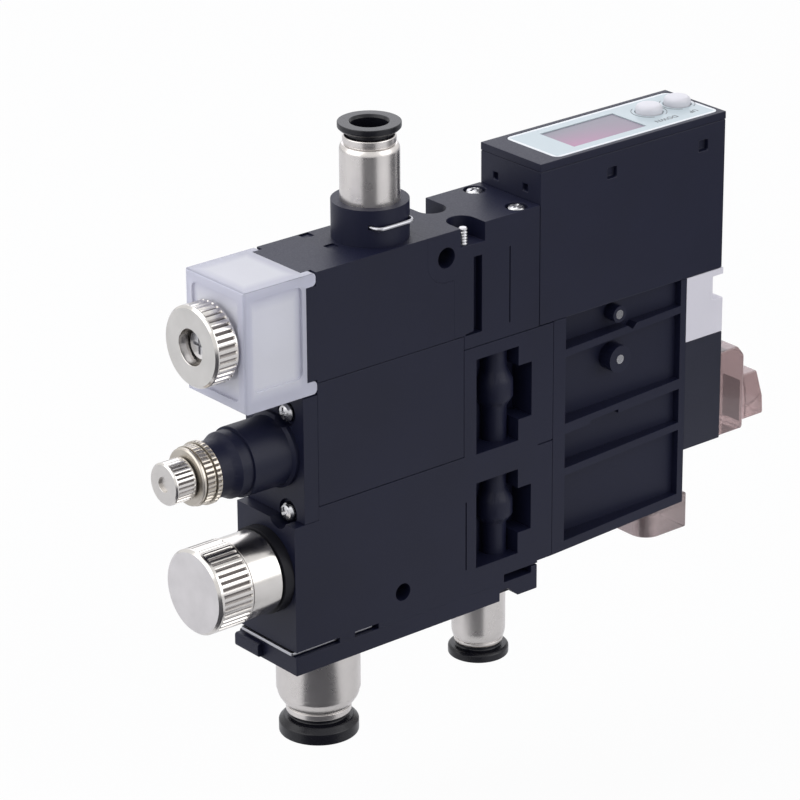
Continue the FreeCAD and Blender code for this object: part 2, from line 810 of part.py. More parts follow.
# Holes for the legs of the wire clip, from the near side into the collar
CLIP_LEVEL = COLLAR_TOP - S.clip_height
HALF_WIRE = S.clip_wire / 2
for leg_place in (S.top_port_from_front - S.clip_leg_offset, S.top_port_from_front + S.clip_leg_offset):
    leg_hole = new_sketch(port_block, "XZ", S.collar_radius)
    reach = HALF_WIRE + S.fit
    rectangle(leg_hole, leg_place - reach, leg_place + reach, CLIP_LEVEL - reach, CLIP_LEVEL + reach)
    pocket(port_block, leg_hole, S.collar_radius + S.clip_leg_end + S.fit)
GATE_START = S.top_port_from_front - S.gate_inset
for gate_side in (as_size(0), HALF - S.gate_half_width - S.gap / 2):
    gate = new_sketch(port_block, "XY", TOP_FACE)
    rectangle(
        gate, GATE_START, GATE_START + S.gate_length,
        gate_side - S.gate_half_width, gate_side + S.gate_half_width)
    pocket(port_block, gate, S.gap)

# Upper rear block with the upper fixing hole
lug_block = new_body("lug_block")
side_block(lug_block, [
    (S.port_block_length, S.seam_high), (S.front_block_length, S.seam_high),
    (S.front_block_length, S.switch_bottom), (S.base_plate_end, S.switch_bottom),
    (S.base_plate_end, TOP_FACE), (S.lug_start, TOP_FACE),
    (S.lug_start, S.lug_height), (S.port_block_length, S.lug_height),
])
fillet_where(lug_block, S.lug_corner_radius, lambda edge: (
    runs_along(edge, "y") and near(edge.CenterOfMass.x, S.lug_start)
    and near(edge.CenterOfMass.z, S.lug_height)))
through_hole(lug_block, S.upper_hole_from_front, S.upper_hole_height, S.upper_hole_radius)
for side, middle in ((-1, S.near_notch_centre), (1, S.far_notch_centre)):
    round_end = new_sketch(lug_block, "XY", TOP_FACE)
    circle(round_end, S.notch_centre, side * middle, S.notch_radius)
    pocket(lug_block, round_end, S.notch_depth)
    straight = new_sketch(lug_block, "XY", TOP_FACE)
    ends = sorted((side * middle, side * HALF), key=lambda size: size.value)
    rectangle(straight, S.notch_centre - S.notch_radius, S.notch_centre + S.notch_radius, ends[0], ends[1])
    pocket(lug_block, straight, S.notch_depth)
side_cut(lug_block, [
    (S.tall_slot_left, S.tall_slot_bottom), (S.tall_slot_right, S.tall_slot_bottom),
    (S.tall_slot_right, S.tall_slot_top), (S.tall_slot_left, S.tall_slot_top),
], S.tall_slot_depth)
side_cut(lug_block, [
    (S.tall_slot_left - S.tall_slot_width, S.tall_slot_bottom), (S.tall_slot_left, S.tall_slot_bottom),
    (S.tall_slot_left, S.tall_slot_bottom + S.seam_width * 2),
    (S.tall_slot_left - S.tall_slot_width, S.tall_slot_bottom + S.seam_width),
], S.tall_slot_depth / 2)
seam(lug_block, S.column_centre, S.column_centre + S.seam_width, S.tall_slot_bottom, S.tall_slot_top)
SCREW_SIDES = (-S.manifold_screw_side, S.manifold_screw_side)
SEAT_DEPTH = S.screw_head_height + 0.1
for screw_side in SCREW_SIDES:
    place_x = S.manifold_screw_from_front
    bore_down(lug_block, place_x, screw_side, S.screw_head_radius + 0.25, TOP_FACE, TOP_FACE - SEAT_DEPTH)
    low = TOP_FACE - SEAT_DEPTH - S.screw_shank_length
    bore_down(lug_block, place_x, screw_side, S.screw_shank_radius + S.fit, TOP_FACE, low)

# Bright plate with the stepped boss of the flow needle
needle_plate = new_body("needle_plate")
plate_sketch = new_sketch(needle_plate, "YZ", S.plate_front)
rectangle(plate_sketch, -HALF, HALF, S.plate_bottom, S.plate_top)
pad(needle_plate, plate_sketch, S.plate_thickness)
boss = new_sketch(needle_plate, "XZ")
axis = S.needle_axis_height
outline(boss, [
    (S.plate_front + 1, axis), (S.plate_front + 1, axis + S.boss_flange_radius),
    (S.plate_front - S.boss_flange_height, axis + S.boss_flange_radius),
    (S.plate_front - S.boss_flange_height - 0.5, axis + S.boss_radius),
    (S.plate_front - S.boss_length, axis + S.boss_radius),
    (S.plate_front - S.boss_length, axis + S.boss_nose_radius),
    (NOSE_FRONT, axis + S.boss_nose_radius), (NECK_START, axis + S.neck_radius),
    (BOSS_FRONT, axis + S.neck_radius), (BOSS_FRONT, axis),
])
stepped = solid(needle_plate, "Revolution", boss)
doc.recompute()
stepped.ReferenceAxis = (boss, ["Edge10"])
stepped.Angle = 360
doc.recompute()
GUIDE_END = BOSS_FRONT + S.needle_guide_length
bore_back(needle_plate, 0, axis, S.needle_stem_radius + S.fit, BOSS_FRONT, PLATE_BACK)
bore_back(needle_plate, 0, axis, S.needle_chamber_radius, GUIDE_END, PLATE_BACK)
for height in (S.plate_screw_bottom, S.plate_screw_top):
    side = -S.plate_screw_side
    bore_back(needle_plate, side, height, S.plate_recess_radius, S.plate_front - 2, RECESS_BACK)
    bore_back(needle_plate, side, height, S.screw_shank_radius + S.fit, S.plate_front, PLATE_BACK)

# Plate under the stack, with its hook and its front tab
base_plate = new_body("base_plate")
side_block(base_plate, [
    (0, 0), (S.base_plate_end, 0), (S.base_plate_end, S.base_plate_height), (0, S.base_plate_height),
])
side_cut(base_plate, [
    (S.base_notch_start, 0), (S.base_chamfer_end, 0), (S.base_notch_end, S.base_notch_height),
    (S.base_notch_start, S.base_notch_height),
], S.clip_slot_width * 3)
hook = new_sketch(base_plate, "XZ", HALF - S.clip_slot_width * 3 + S.fit)
rectangle(hook, S.base_lug_start, S.base_plate_end, S.base_plate_height - 1, S.base_lug_height)
pad(base_plate, hook, S.clip_slot_width * 3 - S.fit)
front_tab = new_sketch(base_plate, "XY", S.base_tab_bottom)
tab_side = HALF - 0.15
rectangle(front_tab, -S.base_tab_length, 1, tab_side - S.base_tab_width, tab_side)
pad(base_plate, front_tab, S.base_tab_height)
fillet_where(base_plate, as_size(0.5), lambda edge: (
    near(edge.CenterOfMass.x, -S.base_tab_length) and runs_along(edge, "y")))
for port_place, port_radius in (
    (S.large_port_from_front, S.large_neck_radius), (S.small_port_from_front, S.small_neck_radius),
):
    bore_down(base_plate, port_place, 0, port_radius + S.fit, S.base_plate_height, 0)

# Bright U clip in the slots above the base plate
base_clip = new_body("base_clip")
clip_sketch = new_sketch(base_clip, "XY", S.base_plate_height + (S.clip_slot_height - S.base_clip_wire) / 2)
clip_outer = S.base_clip_side + S.base_clip_wire / 2
clip_inner = S.base_clip_side - S.base_clip_wire / 2
outline(clip_sketch, [
    (-S.base_clip_reach, -clip_outer), (S.base_clip_end, -clip_outer), (S.base_clip_end, -clip_inner),
    (S.base_clip_wire - S.base_clip_reach, -clip_inner), (S.base_clip_wire - S.base_clip_reach, clip_inner),
    (S.base_clip_end, clip_inner), (S.base_clip_end, clip_outer), (-S.base_clip_reach, clip_outer),
])
pad(base_clip, clip_sketch, S.base_clip_wire)
fillet_where(base_clip, S.base_clip_wire * 0.8, lambda edge: (
    near(edge.CenterOfMass.x, -S.base_clip_reach) and runs_along(edge, "z")))


def screws(name, plane, centres, face, inward):
    """Cross-head screws whose heads end at the place face and point inward, +1 or -1."""
    body = new_body(name)
    body.AllowCompound = True
    away = inward < 0
    for across, up in centres:
        head = new_sketch(body, plane, face)
        circle(head, across, up, S.screw_head_radius)
        pad(body, head, S.screw_head_height, reverse=away)
        shank = new_sketch(body, plane, as_size(face) + inward * S.screw_head_height)
        circle(shank, across, up, S.screw_shank_radius)
        pad(body, shank, S.screw_shank_length - 0.5, reverse=away)
    wide = S.screw_slot_length / 2
    slim = S.screw_slot_width / 2
    cross = [(-slim, -wide), (slim, -wide), (slim, -slim), (wide, -slim), (wide, slim), (slim, slim)]
    cross += [(slim, wide), (-slim, wide), (-slim, slim), (-wide, slim), (-wide, -slim), (-slim, -slim)]
    for across, up in centres:
        recess = new_sketch(body, plane, face)
        outline(recess, [(across + a, up + b) for a, b in cross])
        pocket(body, recess, S.screw_slot_depth, reverse=inward > 0)
    return body


# Screws of the needle plate and of the upper rear block, and the set screw in the near notch
PLATE_SCREWS = [(-S.plate_screw_side, height) for height in (S.plate_screw_bottom, S.plate_screw_top)]
screws("plate_screws", "YZ", PLATE_SCREWS, RECESS_BACK - S.screw_head_height, 1)
MANIFOLD_SCREWS = [(S.manifold_screw_from_front, side) for side in SCREW_SIDES]
screws("manifold_screws", "XY", MANIFOLD_SCREWS, TOP_FACE - 0.1, -1)
notch_screw = new_body(
    "notch_screw", S.set_screw_from_front, -S.set_screw_side, TOP_FACE - S.notch_depth)
turned(notch_screw, [
    (0, 0), (S.set_screw_radius, 0), (S.set_screw_radius, S.set_screw_height - 0.3),
    (S.set_screw_radius - 0.3, S.set_screw_height), (0, S.set_screw_height),
], "V")

# Wire clip that holds the top fitting: a U pushed in from the near side of the collar
port_clip = new_body("port_clip")
clip_outline = new_sketch(port_clip, "XY", CLIP_LEVEL - HALF_WIRE)
BAR_BACK = -S.collar_radius - S.fit
left_leg = S.top_port_from_front - S.clip_leg_offset
right_leg = S.top_port_from_front + S.clip_leg_offset
outline(clip_outline, [
    (left_leg - HALF_WIRE, BAR_BACK - S.clip_wire), (right_leg + HALF_WIRE, BAR_BACK - S.clip_wire),
    (right_leg + HALF_WIRE, S.clip_leg_end), (right_leg - HALF_WIRE, S.clip_leg_end),
    (right_leg - HALF_WIRE, BAR_BACK), (left_leg + HALF_WIRE, BAR_BACK),
    (left_leg + HALF_WIRE, S.clip_leg_end), (left_leg - HALF_WIRE, S.clip_leg_end),
])
pad(port_clip, clip_outline, S.clip_wire)
fillet_where(port_clip, S.clip_bend + HALF_WIRE, lambda edge: (
    runs_along(edge, "z") and near(edge.CenterOfMass.y, BAR_BACK - S.clip_wire)))
fillet_where(port_clip, S.clip_bend - HALF_WIRE, lambda edge: (
    runs_along(edge, "z") and near(edge.CenterOfMass.y, BAR_BACK)))


def fitting(names, from_front, face, way, measures):
    """A push-in tube fitting: metal body, release ring, gripping collet and seal.

    It is turned about a vertical axis. The sizes grow from the face it stands on towards
    its mouth, and way is +1 for a mouth that points up and -1 for one that points down.
    """
    m = SimpleNamespace(**measures)
    tube = m.tube_radius
    sleeve = tube + S.sleeve_wall
    mouth = m.length + m.lip_length
    shelf = mouth - S.sleeve_length - S.ring_travel - S.collet_length
    seal_end = shelf - 0.2
    seal_start = seal_end - S.seal_cord * 2
    stop = seal_start - S.tube_guide_length

    def along(section):
        return [(radius, way * as_size(height)) for radius, height in section]

    metal = new_body(names[0], from_front, 0, face)
    section = [(tube - 1.2, -m.depth), (m.depth_radius, -m.depth)]
    for groove_radius, groove_height in m.groove:
        section.append((groove_radius, groove_height))
    section += [
        (m.depth_radius, 0), (m.radius, 0), (m.radius, m.length - m.shoulder), (m.lip_radius, m.length),
        (m.lip_radius, mouth), (sleeve + 0.1, mouth), (sleeve + 0.1, seal_start), (tube, seal_start),
        (tube, stop), (tube - 1.2, stop),
    ]
    turned(metal, along(section), "V")
    ring = new_body(names[1], from_front, 0, face)
    flange = mouth + S.ring_travel + 0.3
    top = flange + m.ring_thickness
    turned(ring, along([
        (tube, mouth - S.sleeve_length), (sleeve, mouth - S.sleeve_length), (sleeve, flange),
        (m.ring_radius, flange), (m.ring_radius, top), (tube + 0.5, top), (tube, top - 0.5),
    ]), "V")
    for name, low, high in (
        (names[2], shelf, shelf + S.collet_length), (names[3], seal_start, seal_end),
    ):
        inner = new_body(name, from_front, 0, face)
        turned(inner, along([(tube, low), (sleeve + 0.1, low), (sleeve + 0.1, high), (tube, high)]), "V")


# The three tube fittings
GROOVE_RADIUS = S.clip_leg_offset - HALF_WIRE - S.fit
GROOVE_HALF = HALF_WIRE + S.fit
TOP_GROOVE = [
    (S.top_fitting_radius, -S.clip_height - GROOVE_HALF), (GROOVE_RADIUS, -S.clip_height - GROOVE_HALF),
    (GROOVE_RADIUS, -S.clip_height + GROOVE_HALF), (S.top_fitting_radius, -S.clip_height + GROOVE_HALF),
]
fitting(
    ("top_fitting", "top_ring", "top_collet", "top_seal"),
    S.top_port_from_front, COLLAR_TOP, 1, {
        "tube_radius": S.top_tube_radius, "depth": S.top_fitting_depth,
        "depth_radius": S.top_fitting_radius, "radius": S.top_fitting_radius + 0.05,
        "length": S.top_fitting_length, "shoulder": 0.7, "lip_radius": S.top_lip_radius,
        "lip_length": S.top_lip_length, "ring_radius": S.top_ring_radius,
        "ring_thickness": S.top_ring_thickness, "groove": TOP_GROOVE,
    })
fitting(
    ("large_fitting", "large_ring", "large_collet", "large_seal"),
    S.large_port_from_front, 0, -1, {
        "tube_radius": S.large_tube_radius, "depth": S.large_neck_length,
        "depth_radius": S.large_neck_radius, "radius": S.large_fitting_radius,
        "length": S.large_fitting_length + 2.0, "shoulder": 2.0, "lip_radius": S.large_lip_radius,
        "lip_length": S.large_lip_length - 2.0, "ring_radius": S.large_ring_radius,
        "ring_thickness": S.large_ring_thickness, "groove": [],
    })
fitting(
    ("small_fitting", "small_ring", "small_collet", "small_seal"),
    S.small_port_from_front, 0, -1, {
        "tube_radius": S.small_tube_radius, "depth": S.small_neck_length,
        "depth_radius": S.small_neck_radius, "radius": S.small_fitting_radius,
        "length": S.small_fitting_length, "shoulder": 0.6, "lip_radius": S.small_lip_radius,
        "lip_length": S.small_lip_length, "ring_radius": S.small_ring_radius,
        "ring_thickness": S.small_ring_thickness, "groove": [],
    })

# Flow needle, its seal and its lock nut, turned about the needle axis
lock_nut = new_body("lock_nut", NUT_FRONT, 0, S.needle_axis_height)
turned(lock_nut, [
    (0, S.needle_stem_radius + S.fit), (0, S.lock_nut_radius - 0.3), (0.3, S.lock_nut_radius),
    (S.lock_nut_thickness, S.lock_nut_radius), (S.lock_nut_thickness, S.needle_stem_radius + S.fit),
])
knurl(
    lock_nut, S.lock_nut_radius, S.lock_nut_teeth, S.knurl_margin,
    S.lock_nut_thickness - S.knurl_margin * 2)
needle = new_body("needle", NEEDLE_FRONT, 0, S.needle_axis_height)
KNOB_END = S.needle_knob_length
STEM_END = KNOB_END + S.needle_length
turned(needle, [
    (S.needle_dimple_depth, 0), (S.needle_dimple_depth, S.needle_dimple_radius),
    (0, S.needle_dimple_radius), (0, S.needle_knob_radius - 0.3), (0.3, S.needle_knob_radius),
    (KNOB_END, S.needle_knob_radius), (KNOB_END, S.needle_stem_radius),
    (STEM_END, S.needle_stem_radius), (STEM_END + S.needle_tip_length, 0.5),
    (STEM_END + S.needle_tip_length, 0),
])
knurl(
    needle, S.needle_knob_radius, S.needle_teeth, S.knurl_margin,
    S.needle_knob_length - S.knurl_margin * 1.5)
SEAL_PLACE = S.plate_front - S.needle_seal_inset
NEEDLE_SEAL_RADIUS = S.needle_chamber_radius - S.fit
needle_seal = new_body("needle_seal", SEAL_PLACE, 0, S.needle_axis_height)
turned(needle_seal, [
    (0, S.needle_stem_radius + S.seal_touch), (0, NEEDLE_SEAL_RADIUS),
    (S.needle_seal_cord * 2, NEEDLE_SEAL_RADIUS),
    (S.needle_seal_cord * 2, S.needle_stem_radius + S.seal_touch),
])

# Filter: cover, porous sleeve, flat seal, knob and its screw
filter_cover = new_body("filter_cover")
side_block(filter_cover, [
    (COVER_FRONT, COVER_BOTTOM), (S.port_block_front, COVER_BOTTOM),
    (S.port_block_front, TOP_FACE), (COVER_FRONT, TOP_FACE),
])
fillet_where(filter_cover, S.cover_corner_radius, lambda edge: near(edge.CenterOfMass.x, COVER_FRONT))
for tab_bottom in (COVER_BOTTOM, TOP_FACE - S.cover_tab_height):
    tab = new_sketch(filter_cover, "XZ")
    tab_back = S.port_block_front + S.cover_tab_length
    rectangle(tab, S.port_block_front - 1, tab_back, tab_bottom, tab_bottom + S.cover_tab_height)
    pad(filter_cover, tab, S.thickness, symmetric=True)
inside = new_sketch(filter_cover, "YZ", S.port_block_front)
wall = S.cover_wall
rectangle(inside, wall - HALF, HALF - wall, COVER_BOTTOM + wall, TOP_FACE - wall)
pocket(filter_cover, inside, S.cover_length - wall)
behind = new_sketch(filter_cover, "YZ", S.port_block_front)
TAB_FACE = HALF - S.cover_tab_depth
rectangle(behind, -TAB_FACE, TAB_FACE, COVER_BOTTOM - 1, TOP_FACE + 1)
pocket(filter_cover, behind, S.cover_tab_length + 1, reverse=True)
fillet_where(filter_cover, S.cover_tab_radius, lambda edge: (
    runs_along(edge, "y") and near(edge.CenterOfMass.x, S.port_block_front + S.cover_tab_length)))
bore_back(filter_cover, 0, S.filter_axis_height, S.stud_radius + S.gap, COVER_FRONT, 0)
MARGIN = S.cover_frame_width
FRAME_BACK = S.port_block_front - MARGIN / 2
for far in (False, True):
    side_cut(filter_cover, [
        (COVER_FRONT + MARGIN, COVER_BOTTOM + MARGIN * 2), (FRAME_BACK, COVER_BOTTOM + MARGIN * 2),
        (FRAME_BACK, TOP_FACE - MARGIN), (COVER_FRONT + MARGIN, TOP_FACE - MARGIN),
    ], S.cover_frame_depth, far)
face_recess = new_sketch(filter_cover, "YZ", COVER_FRONT + S.cover_frame_depth)
rectangle(face_recess, MARGIN - HALF, HALF - MARGIN, COVER_BOTTOM + MARGIN, TOP_FACE - MARGIN)
pocket(filter_cover, face_recess, 1)
for face_axis, reach, face_place in (
    ("y", "y", HALF - S.cover_frame_depth / 2), ("x", "x", COVER_FRONT + S.cover_frame_depth / 2),
):
    fillet_where(filter_cover, S.cover_frame_radius, lambda edge: (
        runs_along(edge, face_axis)
        and near(abs(getattr(edge.CenterOfMass, reach)), abs(as_size(face_place).value))))
filter_element = new_body("filter_element", COVER_FRONT + S.cover_wall + 0.3, 0, S.filter_axis_height)
turned(filter_element, [
    (0, S.filter_bore_radius), (0, S.filter_radius), (S.filter_length, S.filter_radius),
    (S.filter_length, S.filter_bore_radius),
])
SEAL_START = S.port_block_front - S.cover_seal_thickness
filter_seal = new_body("filter_seal", SEAL_START, 0, S.filter_axis_height)
turned(filter_seal, [
    (0, S.filter_radius + S.fit), (0, HALF - S.cover_wall - S.fit),
    (S.cover_seal_thickness, HALF - S.cover_wall - S.fit),
    (S.cover_seal_thickness, S.filter_radius + S.fit),
])
filter_knob = new_body("filter_knob", KNOB_BACK - S.filter_knob_length, 0, S.filter_axis_height)
bore_floor = S.filter_knob_bore_depth
turned(filter_knob, [
    (0, S.filter_knob_bore_radius), (0, S.filter_knob_radius - 0.5), (0.5, S.filter_knob_radius),
    (S.filter_knob_length, S.filter_knob_radius), (S.filter_knob_length, S.stud_radius),
    (bore_floor, S.stud_radius), (bore_floor, S.filter_knob_bore_radius),
])
knurl(
    filter_knob, S.filter_knob_radius, S.filter_knob_teeth, S.knurl_margin,
    S.filter_knob_length - S.knurl_margin * 1.5)
filter_stud = new_body("filter_stud", KNOB_BACK - S.filter_knob_length + bore_floor, 0, S.filter_axis_height)
STUD_END = CHAMBER_END + S.stud_depth - 0.5 - KNOB_BACK + S.filter_knob_length - bore_floor
turned(filter_stud, [
    (-S.stud_head_height, 0), (-S.stud_head_height, S.stud_head_radius - 0.3),
    (0.3 - S.stud_head_height, S.stud_head_radius), (0, S.stud_head_radius), (0, S.stud_radius),
    (STUD_END, S.stud_radius), (STUD_END, 0),
])
drive = new_sketch(filter_stud, "YZ", -S.stud_head_height)
arm = S.screw_slot_length * 0.75
slim = S.screw_slot_width / 2
outline(drive, [
    (-slim, -arm), (slim, -arm), (slim, -slim), (arm, -slim), (arm, slim), (slim, slim),
    (slim, arm), (-slim, arm), (-slim, slim), (-arm, slim), (-arm, -slim), (-slim, -slim),
])
pocket(filter_stud, drive, S.screw_slot_depth, reverse=True)

# Ejector cartridge: cap, ring, nozzle, diffuser and the seals between them
cap_ring = new_body("cap_ring", 0, 0, S.ejector_axis_height)
turned(cap_ring, [
    (-S.cap_ring_height, S.ejector_bore_radius), (-S.cap_ring_height, S.cap_ring_radius),
    (0, S.cap_ring_radius), (0, S.ejector_bore_radius),
])
CAP_LENGTH = S.cap_knurl_length + S.cap_band_length
ejector_cap = new_body("ejector_cap", CAP_BACK - CAP_LENGTH, 0, S.ejector_axis_height)
SPIGOT_END = CAP_LENGTH + S.cap_spigot_length
turned(ejector_cap, [
    (0, 0), (0, S.cap_radius - S.cap_edge), (S.cap_edge, S.cap_radius),
    (S.cap_knurl_length, S.cap_radius), (S.cap_knurl_length, S.cap_band_radius),
    (CAP_LENGTH, S.cap_band_radius), (CAP_LENGTH, S.ejector_bore_radius - S.gap),
    (SPIGOT_END, S.ejector_bore_radius - S.gap), (SPIGOT_END, 0),
])
knurl(
    ejector_cap, S.cap_radius, S.cap_teeth, S.cap_front_band,
    S.cap_knurl_length - S.cap_front_band - S.knurl_margin / 2)
nozzle = new_body("nozzle", S.cap_spigot_length + CAP_BACK + 0.5, 0, S.ejector_axis_height)
NOZZLE_OUTER = S.ejector_bore_radius - S.fit
turned(nozzle, [
    (0, S.nozzle_throat_radius), (0, NOZZLE_OUTER), (S.nozzle_flange, NOZZLE_OUTER),
    (S.nozzle_flange, S.nozzle_radius), (S.nozzle_length, S.nozzle_radius),
    (S.nozzle_length, S.nozzle_throat_radius),
])
diffuser = new_body("diffuser", S.diffuser_start, 0, S.ejector_axis_height)
turned(diffuser, [
    (0, S.diffuser_throat_radius), (0, NOZZLE_OUTER), (S.diffuser_length, NOZZLE_OUTER),
    (S.diffuser_length, S.diffuser_mouth_radius),
])
ejector_seals = new_body(
    "ejector_seals", S.diffuser_start - S.seal_cord * 2, 0, S.ejector_axis_height)
turned(ejector_seals, [
    (0, NOZZLE_OUTER - S.seal_cord * 3), (0, NOZZLE_OUTER), (S.seal_cord * 2, NOZZLE_OUTER),
    (S.seal_cord * 2, NOZZLE_OUTER - S.seal_cord * 3),
])

# Ribbed side frame that carries the valve: pockets whose floors slope up towards the plug end
valve_frame = new_body("valve_frame")
RISE = S.frame_rise
FRAME_START = S.manifold_end
side_block(valve_frame, [
    (FRAME_START, S.manifold_foot), (S.frame_end, S.manifold_foot + RISE),
    (S.frame_end, S.switch_bottom), (FRAME_START, S.switch_bottom),
])
FRAME_POCKETS = (
    (S.first_pocket_bottom, S.switch_bottom), (S.second_pocket_bottom, S.second_pocket_top),
    (S.third_pocket_bottom, S.third_pocket_top), (S.fourth_pocket_bottom, S.fourth_pocket_top),
)
for bottom, top in FRAME_POCKETS:
    side_cut(valve_frame, [
        (S.pocket_left, bottom), (S.pocket_right, bottom + RISE), (S.pocket_right, top + RISE),
        (S.pocket_left, top),
    ], S.pocket_depth)
floor = new_sketch(valve_frame, "XY", S.fourth_pocket_bottom)
outline(floor, [
    (S.pocket_left, S.pocket_depth - HALF), (S.pocket_right, S.pocket_shallow_depth - HALF),
    (S.pocket_right, S.pocket_depth - HALF),
])
pad(valve_frame, floor, S.switch_bottom - S.fourth_pocket_bottom)
pin_boss = new_sketch(valve_frame, "XZ", HALF + S.frame_boss_rise)
circle(pin_boss, S.frame_boss_from_front, S.frame_boss_height, S.frame_boss_radius)
pad(valve_frame, pin_boss, S.pocket_depth + 0.5, reverse=True)
pin_ring = new_sketch(valve_frame, "XZ", HALF)
circle(pin_ring, S.frame_boss_from_front, S.upper_pin_height, S.upper_pin_ring_radius)
pad(valve_frame, pin_ring, S.pocket_depth, reverse=True)
PIN_HEIGHTS = (S.frame_boss_height, S.upper_pin_height)
PIN_FACES = (HALF + S.frame_boss_rise, HALF)
for height, face in zip(PIN_HEIGHTS, PIN_FACES):
    pin_hole = new_sketch(valve_frame, "XZ", face)
    circle(pin_hole, S.frame_boss_from_front, height, S.frame_pin_radius)
    pocket(valve_frame, pin_hole, 2.5)
SLIT_START = S.frame_boss_from_front - S.slit_length
SLIT_TOP = S.second_pocket_bottom - S.frame_low_rib / 2
side_cut(valve_frame, [
    (SLIT_START, SLIT_TOP - S.slit_width), (S.frame_boss_from_front, SLIT_TOP - S.slit_width + S.slit_rise),
    (S.frame_boss_from_front, SLIT_TOP + S.slit_rise), (SLIT_START, SLIT_TOP),
], S.pocket_depth * 1.4)
MARK = S.frame_boss_from_front + S.mark_inset
side_cut(valve_frame, [
    (MARK - S.mark_half_width, S.first_pocket_bottom + S.mark_height), (MARK, S.first_pocket_bottom - 0.2),
    (MARK + S.mark_half_width, S.first_pocket_bottom + S.mark_height + S.slit_rise),
], S.pocket_depth * 0.6)
frame_pins = new_body("frame_pins")
frame_pins.AllowCompound = True
for height, face in zip(PIN_HEIGHTS, PIN_FACES):
    pin = new_sketch(frame_pins, "XZ", face)
    circle(pin, S.frame_boss_from_front, height, S.frame_pin_radius)
    pad(frame_pins, pin, 2.5, reverse=True)

# Pilot valve: black coil, grey head and the two smoky sockets
VALVE_START = S.frame_end
VALVE_HALF = S.valve_half_width
valve_coil = new_body("valve_coil")
coil = new_sketch(valve_coil, "XZ", HALF)
rectangle(coil, VALVE_START, S.valve_end, S.valve_bottom, S.coil_top)
pad(valve_coil, coil, HALF + VALVE_HALF, reverse=True)
valve_head = new_body("valve_head")
head = new_sketch(valve_head, "XZ", HALF)
outline(head, [
    (VALVE_START, S.coil_top), (S.valve_end, S.coil_top), (S.valve_end, S.head_notch_bottom),
    (S.head_notch_start, S.head_notch_bottom), (S.head_notch_start, S.head_notch_top),
    (S.valve_end, S.head_notch_top), (S.valve_end, S.switch_bottom), (VALVE_START, S.switch_bottom),
])
pad(valve_head, head, HALF + VALVE_HALF, reverse=True)
coil_socket = new_body("coil_socket")
socket = new_sketch(coil_socket, "XZ", S.socket_half_width)
outline(socket, [
    (S.valve_end, S.valve_bottom), (S.socket_end, S.valve_bottom), (S.socket_end, S.socket_top - 2.0),
    (S.socket_end - 2.0, S.socket_top), (S.valve_end, S.socket_top),
])
pad(coil_socket, socket, S.socket_half_width * 2, reverse=True)
fillet_where(coil_socket, as_size(0.8), lambda edge: near(edge.CenterOfMass.x, S.socket_end))
coil_plug = new_body("coil_plug")
plug = new_sketch(coil_plug, "XZ", S.plug_half_width)
outline(plug, [
    (S.socket_end, S.plug_bottom), (S.plug_end, S.plug_bottom), (S.plug_end - 0.2, S.plug_top - 4.8),
    (S.plug_end - 1.6, S.plug_top), (S.socket_end, S.plug_top),
])
pad(coil_plug, plug, S.plug_half_width * 2, reverse=True)
lower_socket = new_body("lower_socket")
low = new_sketch(lower_socket, "XZ", S.lower_socket_half_width)
low_slope = RISE * (S.lower_socket_start - FRAME_START) / (S.frame_end - FRAME_START)
outline(low, [
    (S.lower_socket_start, S.lower_socket_bottom), (S.lower_socket_end, S.lower_socket_bottom),
    (S.lower_socket_end, S.lower_socket_lip), (S.frame_end, S.lower_socket_lip),
    (S.frame_end, S.manifold_foot + RISE), (S.lower_socket_start, S.manifold_foot + low_slope),
])
pad(lower_socket, low, S.lower_socket_half_width * 2, reverse=True)
fillet_where(lower_socket, S.lower_socket_corner_radius, lambda edge: (
    runs_along(edge, "z") and near(edge.CenterOfMass.x, S.lower_socket_start)))

# Digital vacuum switch: open case, lid with openings, panel, window, buttons, board and sensor
switch_case = new_body("switch_case")
side_case = new_sketch(switch_case, "XZ")
rectangle(side_case, S.switch_start, S.switch_end, S.switch_bottom, S.switch_lid_bottom)
pad(switch_case, side_case, S.thickness, symmetric=True)
cavity = new_sketch(switch_case, "XY", S.switch_lid_bottom)
rectangle(
    cavity, S.switch_start + S.switch_wall, S.switch_end - S.switch_wall,
    S.switch_wall - HALF, HALF - S.switch_wall)
pocket(switch_case, cavity, S.switch_lid_bottom - S.switch_bottom - S.switch_wall)
for left in (S.latch_left, S.latch_right):
    latch = [(left, S.latch_bottom), (left + S.latch_width, S.latch_bottom)]
    latch += [(left + S.latch_width, S.latch_bottom + S.latch_height), (left, S.latch_bottom + S.latch_height)]
    for far in (False, True):
        side_cut(switch_case, latch, S.latch_depth, far)
for hole_side in (-S.test_hole_side, as_size(S.test_hole_side)):
    test_hole = new_sketch(switch_case, "YZ", S.switch_start + S.latch_depth)
    half_hole = S.test_hole_size / 2
    rectangle(
        test_hole, hole_side - half_hole, hole_side + half_hole,
        S.test_hole_height - half_hole, S.test_hole_height + half_hole)
    pocket(switch_case, test_hole, S.latch_depth)
BUTTONS = (S.down_button_from_front, S.up_button_from_front)
def at_panel_corner(edge):
    ends = (S.panel_left, S.panel_left + S.fit, S.panel_right, S.panel_right - S.fit)
    return runs_along(edge, "z") and any(near(edge.CenterOfMass.x, end) for end in ends)


